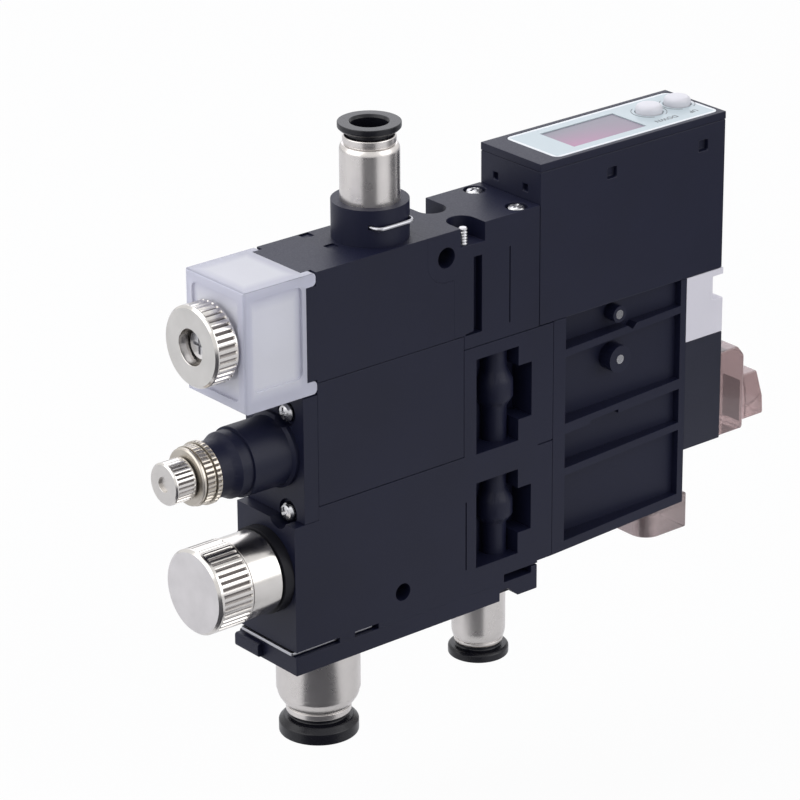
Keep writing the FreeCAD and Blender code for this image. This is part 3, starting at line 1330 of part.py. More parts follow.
switch_lid = new_body("switch_lid")
lid = new_sketch(switch_lid, "XZ")
rectangle(lid, S.switch_start, S.switch_end, S.switch_lid_bottom, S.switch_top)
pad(switch_lid, lid, S.thickness, symmetric=True)
panel_seat = new_sketch(switch_lid, "XY", S.switch_top)
rectangle(
    panel_seat, S.panel_left, S.panel_right, -S.panel_half_width, S.panel_half_width)
pocket(switch_lid, panel_seat, S.panel_thickness)
fillet_where(switch_lid, S.panel_corner_radius, at_panel_corner)
view = new_sketch(switch_lid, "XY", S.switch_top)
rectangle(
    view, S.display_left, S.display_right, -S.display_half_width, S.display_half_width)
pocket(switch_lid, view, 2)
for button_place in BUTTONS:
    bore_down(switch_lid, button_place, S.button_side, S.button_radius + 0.1, S.switch_top, S.switch_lid_bottom)
label_panel = new_body("label_panel")
sheet_sketch = new_sketch(label_panel, "XY", S.switch_top - S.panel_thickness)
rectangle(
    sheet_sketch, S.panel_left + S.fit, S.panel_right - S.fit,
    S.fit - S.panel_half_width, S.panel_half_width - S.fit)
pad(label_panel, sheet_sketch, S.panel_thickness - S.fit)
fillet_where(label_panel, S.panel_corner_radius - S.fit, at_panel_corner)
view = new_sketch(label_panel, "XY", S.switch_top)
rectangle(
    view, S.display_left, S.display_right, -S.display_half_width, S.display_half_width)
pocket(label_panel, view, 2)
for button_place in BUTTONS:
    bore_down(
        label_panel, button_place, S.button_side, S.button_radius + 0.1,
        S.switch_top, S.switch_lid_bottom)
display_window = new_body("display_window")
pane = new_sketch(display_window, "XY", S.switch_lid_bottom)
rectangle(
    pane, S.display_left + S.fit, S.display_right - S.fit,
    S.fit - S.display_half_width, S.display_half_width - S.fit)
pad(display_window, pane, S.switch_top - S.switch_lid_bottom - 0.2)
BOARD_TOP = S.switch_lid_bottom - S.board_drop
STEM_BOTTOM = BOARD_TOP + S.button_travel + 0.2
FLANGE_BOTTOM = S.switch_lid_bottom + S.button_travel + 0.1
for name, button_place in zip(("down_button", "up_button"), BUTTONS):
    button = new_body(name, button_place, S.button_side, S.switch_top)
    turned(button, [
        (0, STEM_BOTTOM - S.switch_top), (S.button_stem_radius, STEM_BOTTOM - S.switch_top),
        (S.button_stem_radius, FLANGE_BOTTOM - S.switch_top),
        (S.button_radius, FLANGE_BOTTOM - S.switch_top),
        (S.button_radius, S.button_height - 0.3), (S.button_radius - 0.3, S.button_height),
        (0, S.button_height),
    ], "V")
switch_board = new_body("switch_board")
board = new_sketch(switch_board, "XY", BOARD_TOP)
rectangle(
    board, S.switch_start + S.switch_wall + 0.3, S.switch_end - S.switch_wall - 0.3,
    S.switch_wall + 0.3 - HALF, HALF - S.switch_wall - 0.3)
pad(switch_board, board, S.board_thickness, reverse=True)
pressure_sensor = new_body("pressure_sensor")
chip = new_sketch(pressure_sensor, "XY", BOARD_TOP - S.board_thickness)
chip_place = S.switch_start + 6
half_chip = S.sensor_size / 2
rectangle(chip, chip_place, chip_place + S.sensor_size, -half_chip, half_chip)
pad(pressure_sensor, chip, S.sensor_height, reverse=True)

doc.recompute()
for item in doc.Objects:
    wrong = [state for state in item.State if state in ("Invalid", "Error")]
    if wrong:
        raise RuntimeError(f"{item.Label}: {wrong}")
pieces = [item for item in doc.Objects if item.TypeId == "PartDesign::Body"]
for piece in pieces:
    if not piece.Shape.isValid() or not piece.Shape.Solids:
        raise RuntimeError(f"{piece.Label} is not a valid solid")
    piece.Shape.exportStep(f"parts/{piece.Label}.step")
print(len(pieces), "pieces")
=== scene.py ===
import json
import math

import bmesh
import bpy
from mathutils import Matrix, Vector


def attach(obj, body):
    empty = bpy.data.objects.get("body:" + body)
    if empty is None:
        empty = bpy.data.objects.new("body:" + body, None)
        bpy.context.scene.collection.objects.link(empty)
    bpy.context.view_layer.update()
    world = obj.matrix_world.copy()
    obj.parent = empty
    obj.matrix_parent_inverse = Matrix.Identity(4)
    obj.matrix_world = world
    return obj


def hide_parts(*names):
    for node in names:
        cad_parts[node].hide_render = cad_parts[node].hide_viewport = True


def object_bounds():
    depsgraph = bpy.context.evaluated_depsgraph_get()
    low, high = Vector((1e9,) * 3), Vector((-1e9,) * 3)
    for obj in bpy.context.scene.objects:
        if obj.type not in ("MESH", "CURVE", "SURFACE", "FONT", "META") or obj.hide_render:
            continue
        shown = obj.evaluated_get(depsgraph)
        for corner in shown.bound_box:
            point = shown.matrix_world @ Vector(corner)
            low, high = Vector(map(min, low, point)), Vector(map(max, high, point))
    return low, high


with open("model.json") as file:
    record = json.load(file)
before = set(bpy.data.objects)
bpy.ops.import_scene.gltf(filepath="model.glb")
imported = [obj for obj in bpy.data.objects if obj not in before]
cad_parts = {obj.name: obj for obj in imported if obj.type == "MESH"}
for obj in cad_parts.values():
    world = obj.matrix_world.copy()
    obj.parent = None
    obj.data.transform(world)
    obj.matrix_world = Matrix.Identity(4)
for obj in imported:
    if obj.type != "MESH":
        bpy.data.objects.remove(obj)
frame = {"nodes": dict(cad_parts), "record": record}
cad_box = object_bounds()
NODES = frame["nodes"]
BODY_OF = {
    node: body for body, nodes in frame["record"]["behaviour"]["bodies"].items() for node in nodes}
MM = 0.001

# The front face, the middle plane and the underside of the stack, seen from the upper fixing hole
FRONT = -33.0
UNDERSIDE = -66.9


def spot(x, y, z):
    """A place given from the front face, the middle plane and the underside, in millimetres."""
    return Vector(((x + FRONT) * MM, y * MM, (z + UNDERSIDE) * MM))


def ends_of(node):
    """The lowest and highest corner of a node, in the shared frame."""
    places = [corner.co for corner in NODES[node].data.vertices]
    return (
        Vector([min(place[axis] for place in places) for axis in range(3)]),
        Vector([max(place[axis] for place in places) for axis in range(3)]))


# ---- node tools


def add(tree, kind, *values, setup=None, **named):
    """A node in the tree: each input is a plain value or the output that feeds it."""
    made = tree.nodes.new(kind)
    for key, value in (setup or {}).items():
        setattr(made, key, value)
    sockets = list(zip(made.inputs, values))
    sockets += [(made.inputs[label.replace("_", " ")], value) for label, value in named.items()]
    for socket, value in sockets:
        if isinstance(value, bpy.types.NodeSocket):
            tree.links.new(value, socket)
        else:
            socket.default_value = value
    return made


def maths(tree, operation, *values):
    """The result of a sum on numbers or outputs."""
    return add(tree, "ShaderNodeMath", *values, setup={"operation": operation}).outputs[0]


def vector_maths(tree, operation, *values, **named):
    made = add(tree, "ShaderNodeVectorMath", *values, setup={"operation": operation}, **named)
    return made.outputs["Value" if operation == "LENGTH" else "Vector"]


def ranged(tree, value, start, end, low=0.0, high=1.0):
    """The value's place between start and end, as a number between low and high."""
    made = add(
        tree, "ShaderNodeMapRange", Value=value, From_Min=start, From_Max=end, To_Min=low,
        To_Max=high)
    return made.outputs["Result"]


def noise(tree, place, scale, detail):
    made = add(tree, "ShaderNodeTexNoise", Vector=place, Scale=scale, Detail=detail)
    return made.outputs["Fac"]


class Finish:
    """A material with a Principled shader and short ways to feed it."""

    def __init__(self, name, color, rough, metal=0.0, coat=0.0, clear=0.0, shine=0.5):
        self.material = bpy.data.materials.new(name)
        self.material.use_nodes = True
        self.tree = self.material.node_tree
        self.shader = self.tree.nodes["Principled BSDF"]
        for socket, value in (
            ("Base Color", (*color, 1.0)), ("Roughness", rough), ("Metallic", metal),
            ("Coat Weight", coat), ("Transmission Weight", clear), ("IOR", 1.46),
            ("Specular IOR Level", shine),
        ):
            self.shader.inputs[socket].default_value = value
        self.place = add(self.tree, "ShaderNodeTexCoord").outputs["Object"]

    def group(self, group, **values):
        """A shared group that reads the object's own place."""
        return add(
            self.tree, "ShaderNodeGroup", setup={"node_tree": group}, Place=self.place, **values)

    def feed(self, made, *sockets):
        """Feeds the shader's sockets from the outputs of the same names."""
        for output, socket in sockets:
            self.tree.links.new(made.outputs[output], self.shader.inputs[socket])

    def bump(self, height, distance, strength):
        made = add(
            self.tree, "ShaderNodeBump", Height=height, Distance=distance, Strength=strength)
        self.tree.links.new(made.outputs["Normal"], self.shader.inputs["Normal"])

    def blend(self, share, first, second):
        made = add(
            self.tree, "ShaderNodeMix", setup={"data_type": "RGBA"}, Factor=share,
            A=(*first, 1), B=(*second, 1))
        return made.outputs["Result"]

    def show(self, share, other):
        """Gives the surface a share of another shader."""
        mix = add(self.tree, "ShaderNodeMixShader", share, self.shader.outputs[0], other)
        self.tree.links.new(mix.outputs[0], self.tree.nodes["Material Output"].inputs["Surface"])

    def lets_light_through(self, share):
        """Clear plastic casts a weak shadow, so that what is inside it stays lit."""
        ray = add(self.tree, "ShaderNodeLightPath")
        open_air = add(self.tree, "ShaderNodeBsdfTransparent")
        weight = maths(self.tree, "MULTIPLY", ray.outputs["Is Shadow Ray"], share)
        self.show(weight, open_air.outputs[0])


COLOR_TO_SHADER = (("Color", "Base Color"),)
COLOR_AND_ROUGH = (("Color", "Base Color"), ("Roughness", "Roughness"))


def new_group(name, inputs, outputs):
    group = bpy.data.node_groups.new(name, "ShaderNodeTree")
    for label, kind, value in inputs:
        socket = group.interface.new_socket(label, in_out="INPUT", socket_type=kind)
        if value is not None:
            socket.default_value = value
    for label, kind in outputs:
        group.interface.new_socket(label, in_out="OUTPUT", socket_type=kind)
    start = group.nodes.new("NodeGroupInput")
    end = group.nodes.new("NodeGroupOutput")
    return group, start.outputs, end.inputs


FLOAT = "NodeSocketFloat"
COLOR = "NodeSocketColor"
VECTOR = "NodeSocketVector"


def moulding_grain():
    """Spark-eroded texture of moulded plastic: a fine height and a slow change of tone."""
    group, start, end = new_group("moulding grain", [
        ("Place", VECTOR, None), ("Tone", COLOR, (0.03, 0.03, 0.04, 1)), ("Roughness", FLOAT, 0.5),
        ("Grain Size", FLOAT, 4000.0), ("Spread", FLOAT, 0.12),
    ], [("Color", COLOR), ("Roughness", FLOAT), ("Height", FLOAT)])
    fine = noise(group, start["Place"], start["Grain Size"], 3)
    slow = noise(group, start["Place"], 90, 4)
    low = maths(group, "SUBTRACT", 1.0, start["Spread"])
    high = maths(group, "ADD", 1.0, start["Spread"])
    tone = vector_maths(
        group, "SCALE", start["Tone"], Scale=ranged(group, slow, 0.3, 0.7, low, high))
    rough = maths(group, "ADD", start["Roughness"], ranged(group, fine, 0.3, 0.7, -0.05, 0.05))
    group.links.new(tone, end["Color"])
    group.links.new(rough, end["Roughness"])
    group.links.new(fine, end["Height"])
    return group


def tool_marks():
    """Fine turning lines round an axis and a light clouding of plated metal."""
    group, start, end = new_group("tool marks", [
        ("Place", VECTOR, None), ("Stretch", VECTOR, (1, 1, 1)),
        ("Tone", COLOR, (0.8, 0.8, 0.8, 1)), ("Roughness", FLOAT, 0.2), ("Spread", FLOAT, 0.06),
    ], [("Color", COLOR), ("Roughness", FLOAT), ("Height", FLOAT)])
    aim = vector_maths(group, "MULTIPLY", start["Place"], start["Stretch"])
    cloud = noise(group, start["Place"], 260, 5)
    tone = vector_maths(
        group, "SCALE", start["Tone"], Scale=ranged(group, cloud, 0.3, 0.7, 0.93, 1.04))
    centred = maths(group, "SUBTRACT", cloud, 0.5)
    rough = maths(group, "MULTIPLY_ADD", centred, start["Spread"], start["Roughness"])
    group.links.new(tone, end["Color"])
    group.links.new(rough, end["Roughness"])
    group.links.new(noise(group, aim, 1.0, 2), end["Height"])
    return group


def facing_marks():
    """Rings left by facing a turned end: the height changes with the distance from an X axis."""
    group, start, end = new_group("facing marks", [
        ("Place", VECTOR, None), ("Centre", VECTOR, (0, 0, 0)), ("Rings", FLOAT, 9000.0),
    ], [("Height", FLOAT)])
    offset = vector_maths(group, "SUBTRACT", start["Place"], start["Centre"])
    radius = vector_maths(group, "LENGTH", vector_maths(group, "MULTIPLY", offset, (0, 1, 1)))
    rings = add(
        group, "ShaderNodeTexNoise", setup={"noise_dimensions": "1D"},
        W=maths(group, "MULTIPLY", radius, start["Rings"]), Scale=1.0, Detail=2)
    group.links.new(rings.outputs["Fac"], end["Height"])
    return group


GRAIN = moulding_grain()
TOOLING = tool_marks()
FACING = facing_marks()


# ---- materials


def plastic(
        name, tone, rough, grain=4000.0, depth=0.00002, spread=0.1, coat=0.0, clear=0.0, shine=0.5):
    finish = Finish(name, tone, rough, coat=coat, clear=clear, shine=shine)
    grained = finish.group(GRAIN, Tone=(*tone, 1), Roughness=rough, Grain_Size=grain, Spread=spread)
    finish.feed(grained, *COLOR_AND_ROUGH)
    finish.bump(grained.outputs["Height"], depth, 0.6)
    if clear > 0:
        finish.lets_light_through(clear)
    return finish.material


def metal(name, tone, rough, stretch=(300, 300, 300)):
    finish = Finish(name, tone, rough, metal=1.0)
    marks = finish.group(TOOLING, Tone=(*tone, 1), Roughness=rough, Stretch=stretch, Spread=0.08)
    finish.feed(marks, *COLOR_AND_ROUGH)
    finish.bump(marks.outputs["Height"], 0.00001, 0.5)
    return finish.material


def faced_metal(name, tone, rough, height):
    """Plated metal of a flat turned end, around the axis at the height above the underside."""
    finish = Finish(name, tone, rough, metal=1.0)
    finish.feed(
        finish.group(TOOLING, Tone=(*tone, 1), Roughness=rough, Spread=0.05), *COLOR_AND_ROUGH)
    rings = finish.group(FACING, Centre=spot(0, 0, height), Rings=9000.0)
    finish.bump(rings.outputs["Height"], 0.000006, 0.5)
    return finish.material


def display_finish(name, tone, painted_glow):
    """Dark-tinted window with a painted pink glow towards its near front corner."""
    finish = Finish(name, tone, 0.3)
    tree = finish.tree
    split = add(tree, "ShaderNodeSeparateXYZ", finish.place).outputs
    to_near_side = ranged(tree, split["Y"], 3.2 * MM, -3.2 * MM)
    to_front = ranged(tree, split["X"], spot(84.0, 0, 0).x, spot(63.0, 0, 0).x)
    # Painted glow: the share of pink grows towards the near side and the front
    share = maths(tree, "MULTIPLY", to_near_side, to_front)
    tinted = finish.group(
        GRAIN, Tone=finish.blend(share, tone, painted_glow), Grain_Size=900.0, Spread=0.03)
    finish.feed(tinted, *COLOR_TO_SHADER)
    return finish.material


# Length of the filter cover's clear body, from its front end
COVER_LENGTH = 12.8 * MM


def frosted_finish(name, inner, frame_shade_tone, rough, clear):
    """Clear moulding with a fine blasted face: paler panels, and painted shade on the frame, the
    top and, a little, the front end.
    """
    finish = Finish(name, inner, rough, clear=clear)
    tree = finish.tree
    low, high = ends_of("filter_cover")
    high.x = low.x + COVER_LENGTH
    offset = vector_maths(tree, "SUBTRACT", finish.place, (low + high) / 2)
    share = vector_maths(tree, "DIVIDE", offset, (high - low) / 2)
    signed = add(tree, "ShaderNodeSeparateXYZ", share).outputs
    size = add(tree, "ShaderNodeSeparateXYZ", vector_maths(tree, "ABSOLUTE", share)).outputs

    # On each face one share is 1, so the middle one of the three tells how near its edge a point is
    smaller = maths(tree, "MINIMUM", size["X"], size["Y"])
    larger = maths(tree, "MAXIMUM", size["X"], size["Y"])
    middle_one = maths(tree, "MAXIMUM", smaller, maths(tree, "MINIMUM", larger, size["Z"]))
    # Painted shade: the tone darkens from the pale middle of each panel towards the frame round it
    tone = finish.blend(ranged(tree, middle_one, 0.62, 0.84), inner, frame_shade_tone)
    # Painted shade: the top is nearly a third darker, and the front end a little darker
    on_top = maths(tree, "GREATER_THAN", signed["Z"], 0.985)
    in_front = maths(tree, "LESS_THAN", signed["X"], -0.9)
    light = maths(tree, "SUBTRACT", 1.0, maths(tree, "MULTIPLY", on_top, 0.31))
    light = maths(tree, "SUBTRACT", light, maths(tree, "MULTIPLY", in_front, 0.04))
    grained = finish.group(
        GRAIN, Tone=vector_maths(tree, "SCALE", tone, Scale=light), Roughness=rough,
        Grain_Size=4000.0, Spread=0.02)
    finish.feed(grained, *COLOR_AND_ROUGH)
    finish.lets_light_through(0.5)
    return finish.material


# The label panel's two ends, and half the size of the field within its rim
PANEL_ENDS = (58.2, 96.3)
FIELD_X, FIELD_Y = 18.35 * MM, 6.1 * MM


def panel_finish(name, field, rim):
    """Pale printed field with a white rim that follows the sheet's edge."""
    finish = Finish(name, field, 0.4, coat=0.15)
    tree = finish.tree
    middle = spot(sum(PANEL_ENDS) / 2, 0, 0).x
    offset = vector_maths(tree, "SUBTRACT", finish.place, (middle, 0, 0))
    size = add(tree, "ShaderNodeSeparateXYZ", vector_maths(tree, "ABSOLUTE", offset)).outputs
    inside = maths(
        tree, "MULTIPLY", maths(tree, "LESS_THAN", size["X"], FIELD_X),
        maths(tree, "LESS_THAN", size["Y"], FIELD_Y))
    grained = finish.group(
        GRAIN, Tone=finish.blend(inside, rim, field), Roughness=0.4, Grain_Size=4000.0,
        Spread=0.015)
    finish.feed(grained, *COLOR_AND_ROUGH)
    return finish.material


def smoky(name, tone):
    """Tinted clear moulding with a smooth face."""
    return plastic(name, tone, 0.1, depth=0.000001, spread=0.04, coat=0.2, clear=0.68)


BLACK = plastic("moulded black", (0.0075, 0.0088, 0.026), 0.46, spread=0.07, shine=0.3)
COIL_BLACK = plastic("coil black", (0.019, 0.0205, 0.036), 0.42, grain=2500, shine=0.3)
RING_BLACK = plastic(
    "release ring black", (0.006, 0.006, 0.010), 0.3, grain=6000, depth=0.00001, shine=0.4)
RUBBER = plastic("seal rubber", (0.008, 0.008, 0.012), 0.55, shine=0.25)
VALVE_GREY = plastic("valve grey", (0.76, 0.74, 0.80), 0.45, spread=0.02)
POROUS = plastic("porous white", (0.85, 0.86, 1.0), 0.8, grain=2600, depth=0.0001, spread=0.02)
PANEL = panel_finish("panel pale blue", (0.52, 0.60, 0.63), (0.80, 0.83, 0.85))
BUTTON = plastic("button white", (0.72, 0.71, 0.75), 0.35, spread=0.015)
MARK_GREY = plastic("printed grey", (0.16, 0.17, 0.18), 0.5, spread=0.03)
BOARD = plastic("board green", (0.03, 0.14, 0.06), 0.4)
SMOKY = smoky("smoky clear", (0.50, 0.36, 0.36))
SMOKY_LOW = smoky("smoky clear of the lower socket", (0.40, 0.32, 0.32))
# The cover's second tone is the painted shade of its frame
FROSTED = frosted_finish("frosted clear", (0.94, 0.94, 1.0), (0.75, 0.755, 0.87), 0.2, 0.3)
# The display's second tone is its painted pink glow
DISPLAY = display_finish("display window", (0.20, 0.185, 0.235), (0.40, 0.16, 0.30))

# Turning lines lie close together along the axis and run long across it
UPRIGHT = (200, 200, 9000)
ALONG = (9000, 200, 200)
NICKEL_UP = metal("nickel turned upright", (0.67, 0.64, 0.62), 0.28, UPRIGHT)
NICKEL_ALONG = metal("nickel turned along", (0.68, 0.655, 0.63), 0.2, ALONG)
NICKEL_DULL = metal("dull nickel of the nut", (0.55, 0.51, 0.455), 0.28, ALONG)
# Painted shade: a dark nickel for the faces deep in the knurls' grooves
GROOVE_SHADE = metal("nickel painted dark between the teeth", (0.13, 0.12, 0.12), 0.36, ALONG)
NICKEL_FACE = {
    "filter_knob": faced_metal("faced nickel of the filter knob", (0.615, 0.60, 0.58), 0.42, 61.0),
    "needle": faced_metal("faced nickel of the needle", (0.61, 0.59, 0.57), 0.4, 38.6),
    "lock_nut": faced_metal("faced nickel of the nut", (0.50, 0.465, 0.41), 0.38, 38.6),
    "ejector_cap": faced_metal("faced nickel of the cap", (0.66, 0.64, 0.645), 0.42, 17.5),
}
STEEL = metal("bright steel", (0.58, 0.58, 0.60), 0.26)
WIRE = metal("drawn wire", (0.46, 0.46, 0.49), 0.3)
BRASS = metal("brass", (0.78, 0.55, 0.24), 0.3, ALONG)

FINISH_OF_NODE = {
    "base_clip": WIRE, "port_clip": WIRE, "plate_screws": STEEL, "manifold_screws": STEEL,
    "notch_screw": STEEL, "frame_pins": STEEL, "filter_cover": FROSTED, "filter_element": POROUS,
    "filter_knob": NICKEL_ALONG, "filter_stud": STEEL, "needle": NICKEL_ALONG,
    "lock_nut": NICKEL_DULL, "ejector_cap": NICKEL_ALONG, "nozzle": BRASS, "diffuser": BRASS,
    "valve_coil": COIL_BLACK, "valve_head": VALVE_GREY, "coil_socket": SMOKY, "coil_plug": SMOKY,
    "lower_socket": SMOKY_LOW, "label_panel": PANEL, "display_window": DISPLAY,
    "up_button": BUTTON, "down_button": BUTTON, "switch_board": BOARD,
    "pressure_sensor": VALVE_GREY, "filter_seal": RUBBER, "cap_ring": RUBBER,
    "ejector_seals": RUBBER, "needle_seal": RUBBER,
}
for fitting in ("top", "large", "small"):
    FINISH_OF_NODE.update({
        f"{fitting}_fitting": NICKEL_UP, f"{fitting}_ring": RING_BLACK,
        f"{fitting}_collet": STEEL, f"{fitting}_seal": RUBBER,
    })
for black_node in (
    "ejector_block", "needle_block", "port_block", "lug_block", "base_plate", "valve_frame",
    "needle_plate", "switch_case", "switch_lid",
):
    FINISH_OF_NODE[black_node] = BLACK


def wear(piece, material):
    piece.data.materials.clear()
    piece.data.materials.append(material)


for node, cad in NODES.items():
    if node in FINISH_OF_NODE:
        wear(cad, FINISH_OF_NODE[node])


# ---- pieces that stand for CAD nodes, with the small radii of the real mouldings


def join(piece, node):
    """Puts a piece in the scene, with the body of the node."""
    bpy.context.scene.collection.objects.link(piece)
    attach(piece, BODY_OF[node])


def shaded(piece, angle):
    """Smooth shading in which the wide faces stay flat and the small radii take the turn."""
    for face in piece.data.polygons:
        face.use_smooth = True
    limit = math.cos(math.radians(angle))
    shell = bmesh.new()
    shell.from_mesh(piece.data)
    sizes = {face: face.calc_area() for face in shell.faces}
    normals = []
    for face in shell.faces:
        for corner in face.loops:
            total = Vector()
            for other in corner.vert.link_faces:
                if other.normal.dot(face.normal) > limit:
                    total += other.normal * sizes[other]
            normals.append(total.normalized() if total.length > 0 else face.normal.copy())
    shell.free()
    piece.data.normals_split_custom_set(normals)


def new_piece(name, shell, node, angle=35):
    """A piece that stands for the node; faces closer than the angle shade as one."""
    mesh = bpy.data.meshes.new(name)
    shell.to_mesh(mesh)
    shell.free()
    piece = bpy.data.objects.new(name, mesh)
    wear(piece, FINISH_OF_NODE[node])
    shaded(piece, angle)
    join(piece, node)
    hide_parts(node)
    return piece


def merged(node):
    """The node's mesh with shared corners and without the lines across its flat faces."""
    shell = bmesh.new()
    shell.from_mesh(NODES[node].data)
    bmesh.ops.remove_doubles(shell, verts=shell.verts, dist=1e-6)
    bmesh.ops.dissolve_limit(
        shell, angle_limit=math.radians(1.0), verts=shell.verts, edges=shell.edges)
    return shell


def ease(shell, edges, radius, segments):
    bmesh.ops.bevel(
        shell, geom=edges, offset=radius * MM, offset_type="OFFSET", affect="EDGES",
        segments=segments, profile=0.5, material=-1, clamp_overlap=True)


def sharp_edges(shell, angle, wanted=None):
    return [
        edge for edge in shell.edges
        if len(edge.link_faces) == 2 and edge.calc_face_angle(0) > math.radians(angle)
        and (wanted is None or wanted(edge))
    ]


def stretch(shell, low_moves, high_moves):
    """Moves the two ends by the given millimetres, and what lies between in proportion."""
    for axis in range(3):
        places = [vert.co[axis] for vert in shell.verts]
        start, end = min(places), max(places)
        for vert in shell.verts:
            share = (vert.co[axis] - start) / (end - start)
            vert.co[axis] += (low_moves[axis] * (1 - share) + high_moves[axis] * share) * MM


def softened(node, radius, first=None, grown=None):
    """A copy of the node whose outer edges have a small moulded or machined radius."""
    shell = merged(node)
    if grown is not None:
        stretch(shell, *grown)
    if first is not None:
        wanted, wide = first
        ease(shell, sharp_edges(shell, 25, wanted), wide, 4)
    ease(shell, sharp_edges(shell, 40), radius, 2)
    return new_piece(f"{node}_soft", shell, node)


def is_boss_edge(edge):
    middle = (edge.verts[0].co + edge.verts[1].co) / 2
    return spot(-9.0, 0, 0).x < middle.x < spot(1.8, 0, 0).x and edge.calc_length() < 1.2 * MM


SOFT_RADII = {
    "ejector_block": 0.2, "needle_block": 0.18, "port_block": 0.22, "lug_block": 0.22,
    "base_plate": 0.15, "valve_frame": 0.15, "switch_case": 0.25, "switch_lid": 0.12,
    "valve_head": 0.15, "valve_coil": 0.2, "lower_socket": 0.3, "filter_cover": 0.35,
    "filter_stud": 0.15, "base_clip": 0.12,
}
# The fine gaps of the stack's split lines, as moves of the low and the high end in millimetres
SPLIT_LINES = {
    "ejector_block": ((0, 0, 0), (0, 0, -0.1)), "needle_block": ((0, 0, 0), (0, 0, -0.1)),
    "valve_frame": ((0.1, 0, 0), (0, 0, 0)),
}
for node, radius in SOFT_RADII.items():
    softened(node, radius, grown=SPLIT_LINES.get(node))
softened("needle_plate", 0.12, first=(is_boss_edge, 0.45))
softened("coil_socket", 0.4, grown=((0, 0, -0.5), (-0.8, 0, 0.9)))
softened("coil_plug", 0.4, grown=((-0.8, 0, -0.4), (0, 0, 0.5)))


def eased_profile(corners, steps=4):
    """Rounds the corners of a closed profile of (radius, height, ease) in millimetres."""
    points = []
    total = len(corners)
    for number, (radius, height, ease_size) in enumerate(corners):
        corner = Vector((radius, height))
        if not ease_size:
            points.append(corner)
            continue
        before = Vector(corners[number - 1][:2])
        after = Vector(corners[(number + 1) % total][:2])
        start = corner + (before - corner).normalized() * ease_size
        end = corner + (after - corner).normalized() * ease_size
        for step in range(steps + 1):
            share = step / steps
            points.append(
                start * (1 - share) ** 2 + corner * 2 * share * (1 - share) + end * share ** 2)
    return points


AXIS_X = Vector((1, 0, 0))
AXIS_Y = Vector((0, 1, 0))
AXIS_Z = Vector((0, 0, 1))


def spun(points, centre, out, along, turns, closed=False):
    """A shell of (radius, height) points in millimetres, spun about the axis from the side out."""
    shell = bmesh.new()
    verts = [shell.verts.new(centre + (out * p.x + along * p.y) * MM) for p in points]
    edges = [
        shell.edges.new((verts[n - 1], verts[n])) for n in range(0 if closed else 1, len(verts))]
    bmesh.ops.spin(
        shell, geom=verts + edges, cent=centre, axis=along, angle=math.tau, steps=turns,
        use_merge=True)
    if not closed:
        bmesh.ops.remove_doubles(shell, verts=shell.verts, dist=1e-6)
    bmesh.ops.recalc_face_normals(shell, faces=shell.faces)
    return shell


def turned_piece(name, node, centre, way, corners, turns=96):
    """A piece turned about an upright axis through the centre, with rounded corners."""
    shell = spun(eased_profile(corners), centre, AXIS_X, AXIS_Z * way, turns, closed=True)
    return new_piece(name, shell, node, 30)


# Height of a tooth's outline over eight steps round the axis: a flat land and a rounded groove
TOOTH = (0, 0, 0, 0, -0.1, -0.75, -1, -0.75)


def knurled_piece(node, corners, bands, teeth, depth):
    """A knob turned about its own axis, with knurling on bands of (start, end, radius) and painted
    shade deep in the grooves.
    """
    low, high = ends_of(node)
    centre = Vector((low.x, (low.y + high.y) / 2, (low.z + high.z) / 2))
    shell = spun(eased_profile(corners, 3), centre, AXIS_Z, AXIS_X, teeth * len(TOOTH))
    for vert in shell.verts:
        along = (vert.co.x - centre.x) / MM
        side = Vector((0, vert.co.y - centre.y, vert.co.z - centre.z))
        for begin, finish, radius in bands:
            if begin - 0.01 < along < finish + 0.01 and abs(side.length / MM - radius) < 0.02:
                share = math.atan2(side.z, side.y) / math.tau * teeth
                step = round(share * len(TOOTH)) % len(TOOTH)
                vert.co += side.normalized() * TOOTH[step] * depth * MM
    # Faces deep in the grooves take the dark nickel of painted shade
    groove_shade_faces = []
    for face in shell.faces:
        place = (face.calc_center_median() - centre) / MM
        distance = math.hypot(place.y, place.z)
        groove_shade_faces.append(any(
            begin < place.x < finish and radius - depth * 1.3 < distance < radius - depth * 0.5
            for begin, finish, radius in bands))
    piece = new_piece(f"{node}_turned", shell, node, 24)
    piece.data.materials.append(NICKEL_FACE[node])
    piece.data.materials.append(GROOVE_SHADE)
    for face, in_groove_shade in zip(piece.data.polygons, groove_shade_faces):
        if face.normal.x < -0.95:
            face.material_index = 1
        elif in_groove_shade:
            face.material_index = 2
    return piece


# Knobs: (radius, distance from the front end, ease) round each profile
knurled_piece("ejector_cap", [
    (0, 0, 0), (7.0, 0, 0), (7.45, 0.45, 0.15), (7.45, 0.95, 0), (7.45, 1.15, 0), (7.45, 6.6, 0),
    (7.45, 6.75, 0), (7.45, 6.95, 0), (7.0, 7.0, 0), (7.0, 7.2, 0), (7.25, 7.25, 0.08),
    (7.25, 13.2, 0.15), (4.5, 13.2, 0), (4.5, 21.2, 0), (0, 21.2, 0),
], [(1.15, 6.6, 7.45)], 40, 0.36)
knurled_piece("filter_knob", [
    (3.1, 3.0, 0), (3.1, 0, 0.2), (6.6, 0, 0), (7.0, 0.4, 0.12), (7.0, 0.6, 0), (7.0, 0.8, 0),
    (7.0, 4.0, 0), (7.0, 4.15, 0), (7.0, 4.4, 0), (6.7, 4.7, 0.1), (1.5, 4.7, 0), (1.5, 3.0, 0),
    (3.1, 3.0, 0),
], [(0.8, 4.0, 7.0)], 36, 0.36)
knurled_piece("needle", [
    (0, 0.5, 0), (1.3, 0.5, 0), (1.3, 0, 0.1), (3.4, 0, 0), (3.65, 0.25, 0.08), (3.65, 0.45, 0),
    (3.65, 0.6, 0), (3.65, 3.7, 0), (3.65, 3.8, 0), (3.65, 4.0, 0), (3.45, 4.2, 0.05),
    (2.2, 4.2, 0), (2.2, 26.2, 0), (0.5, 29.2, 0), (0, 29.2, 0),
], [(0.6, 3.7, 3.65)], 28, 0.3)
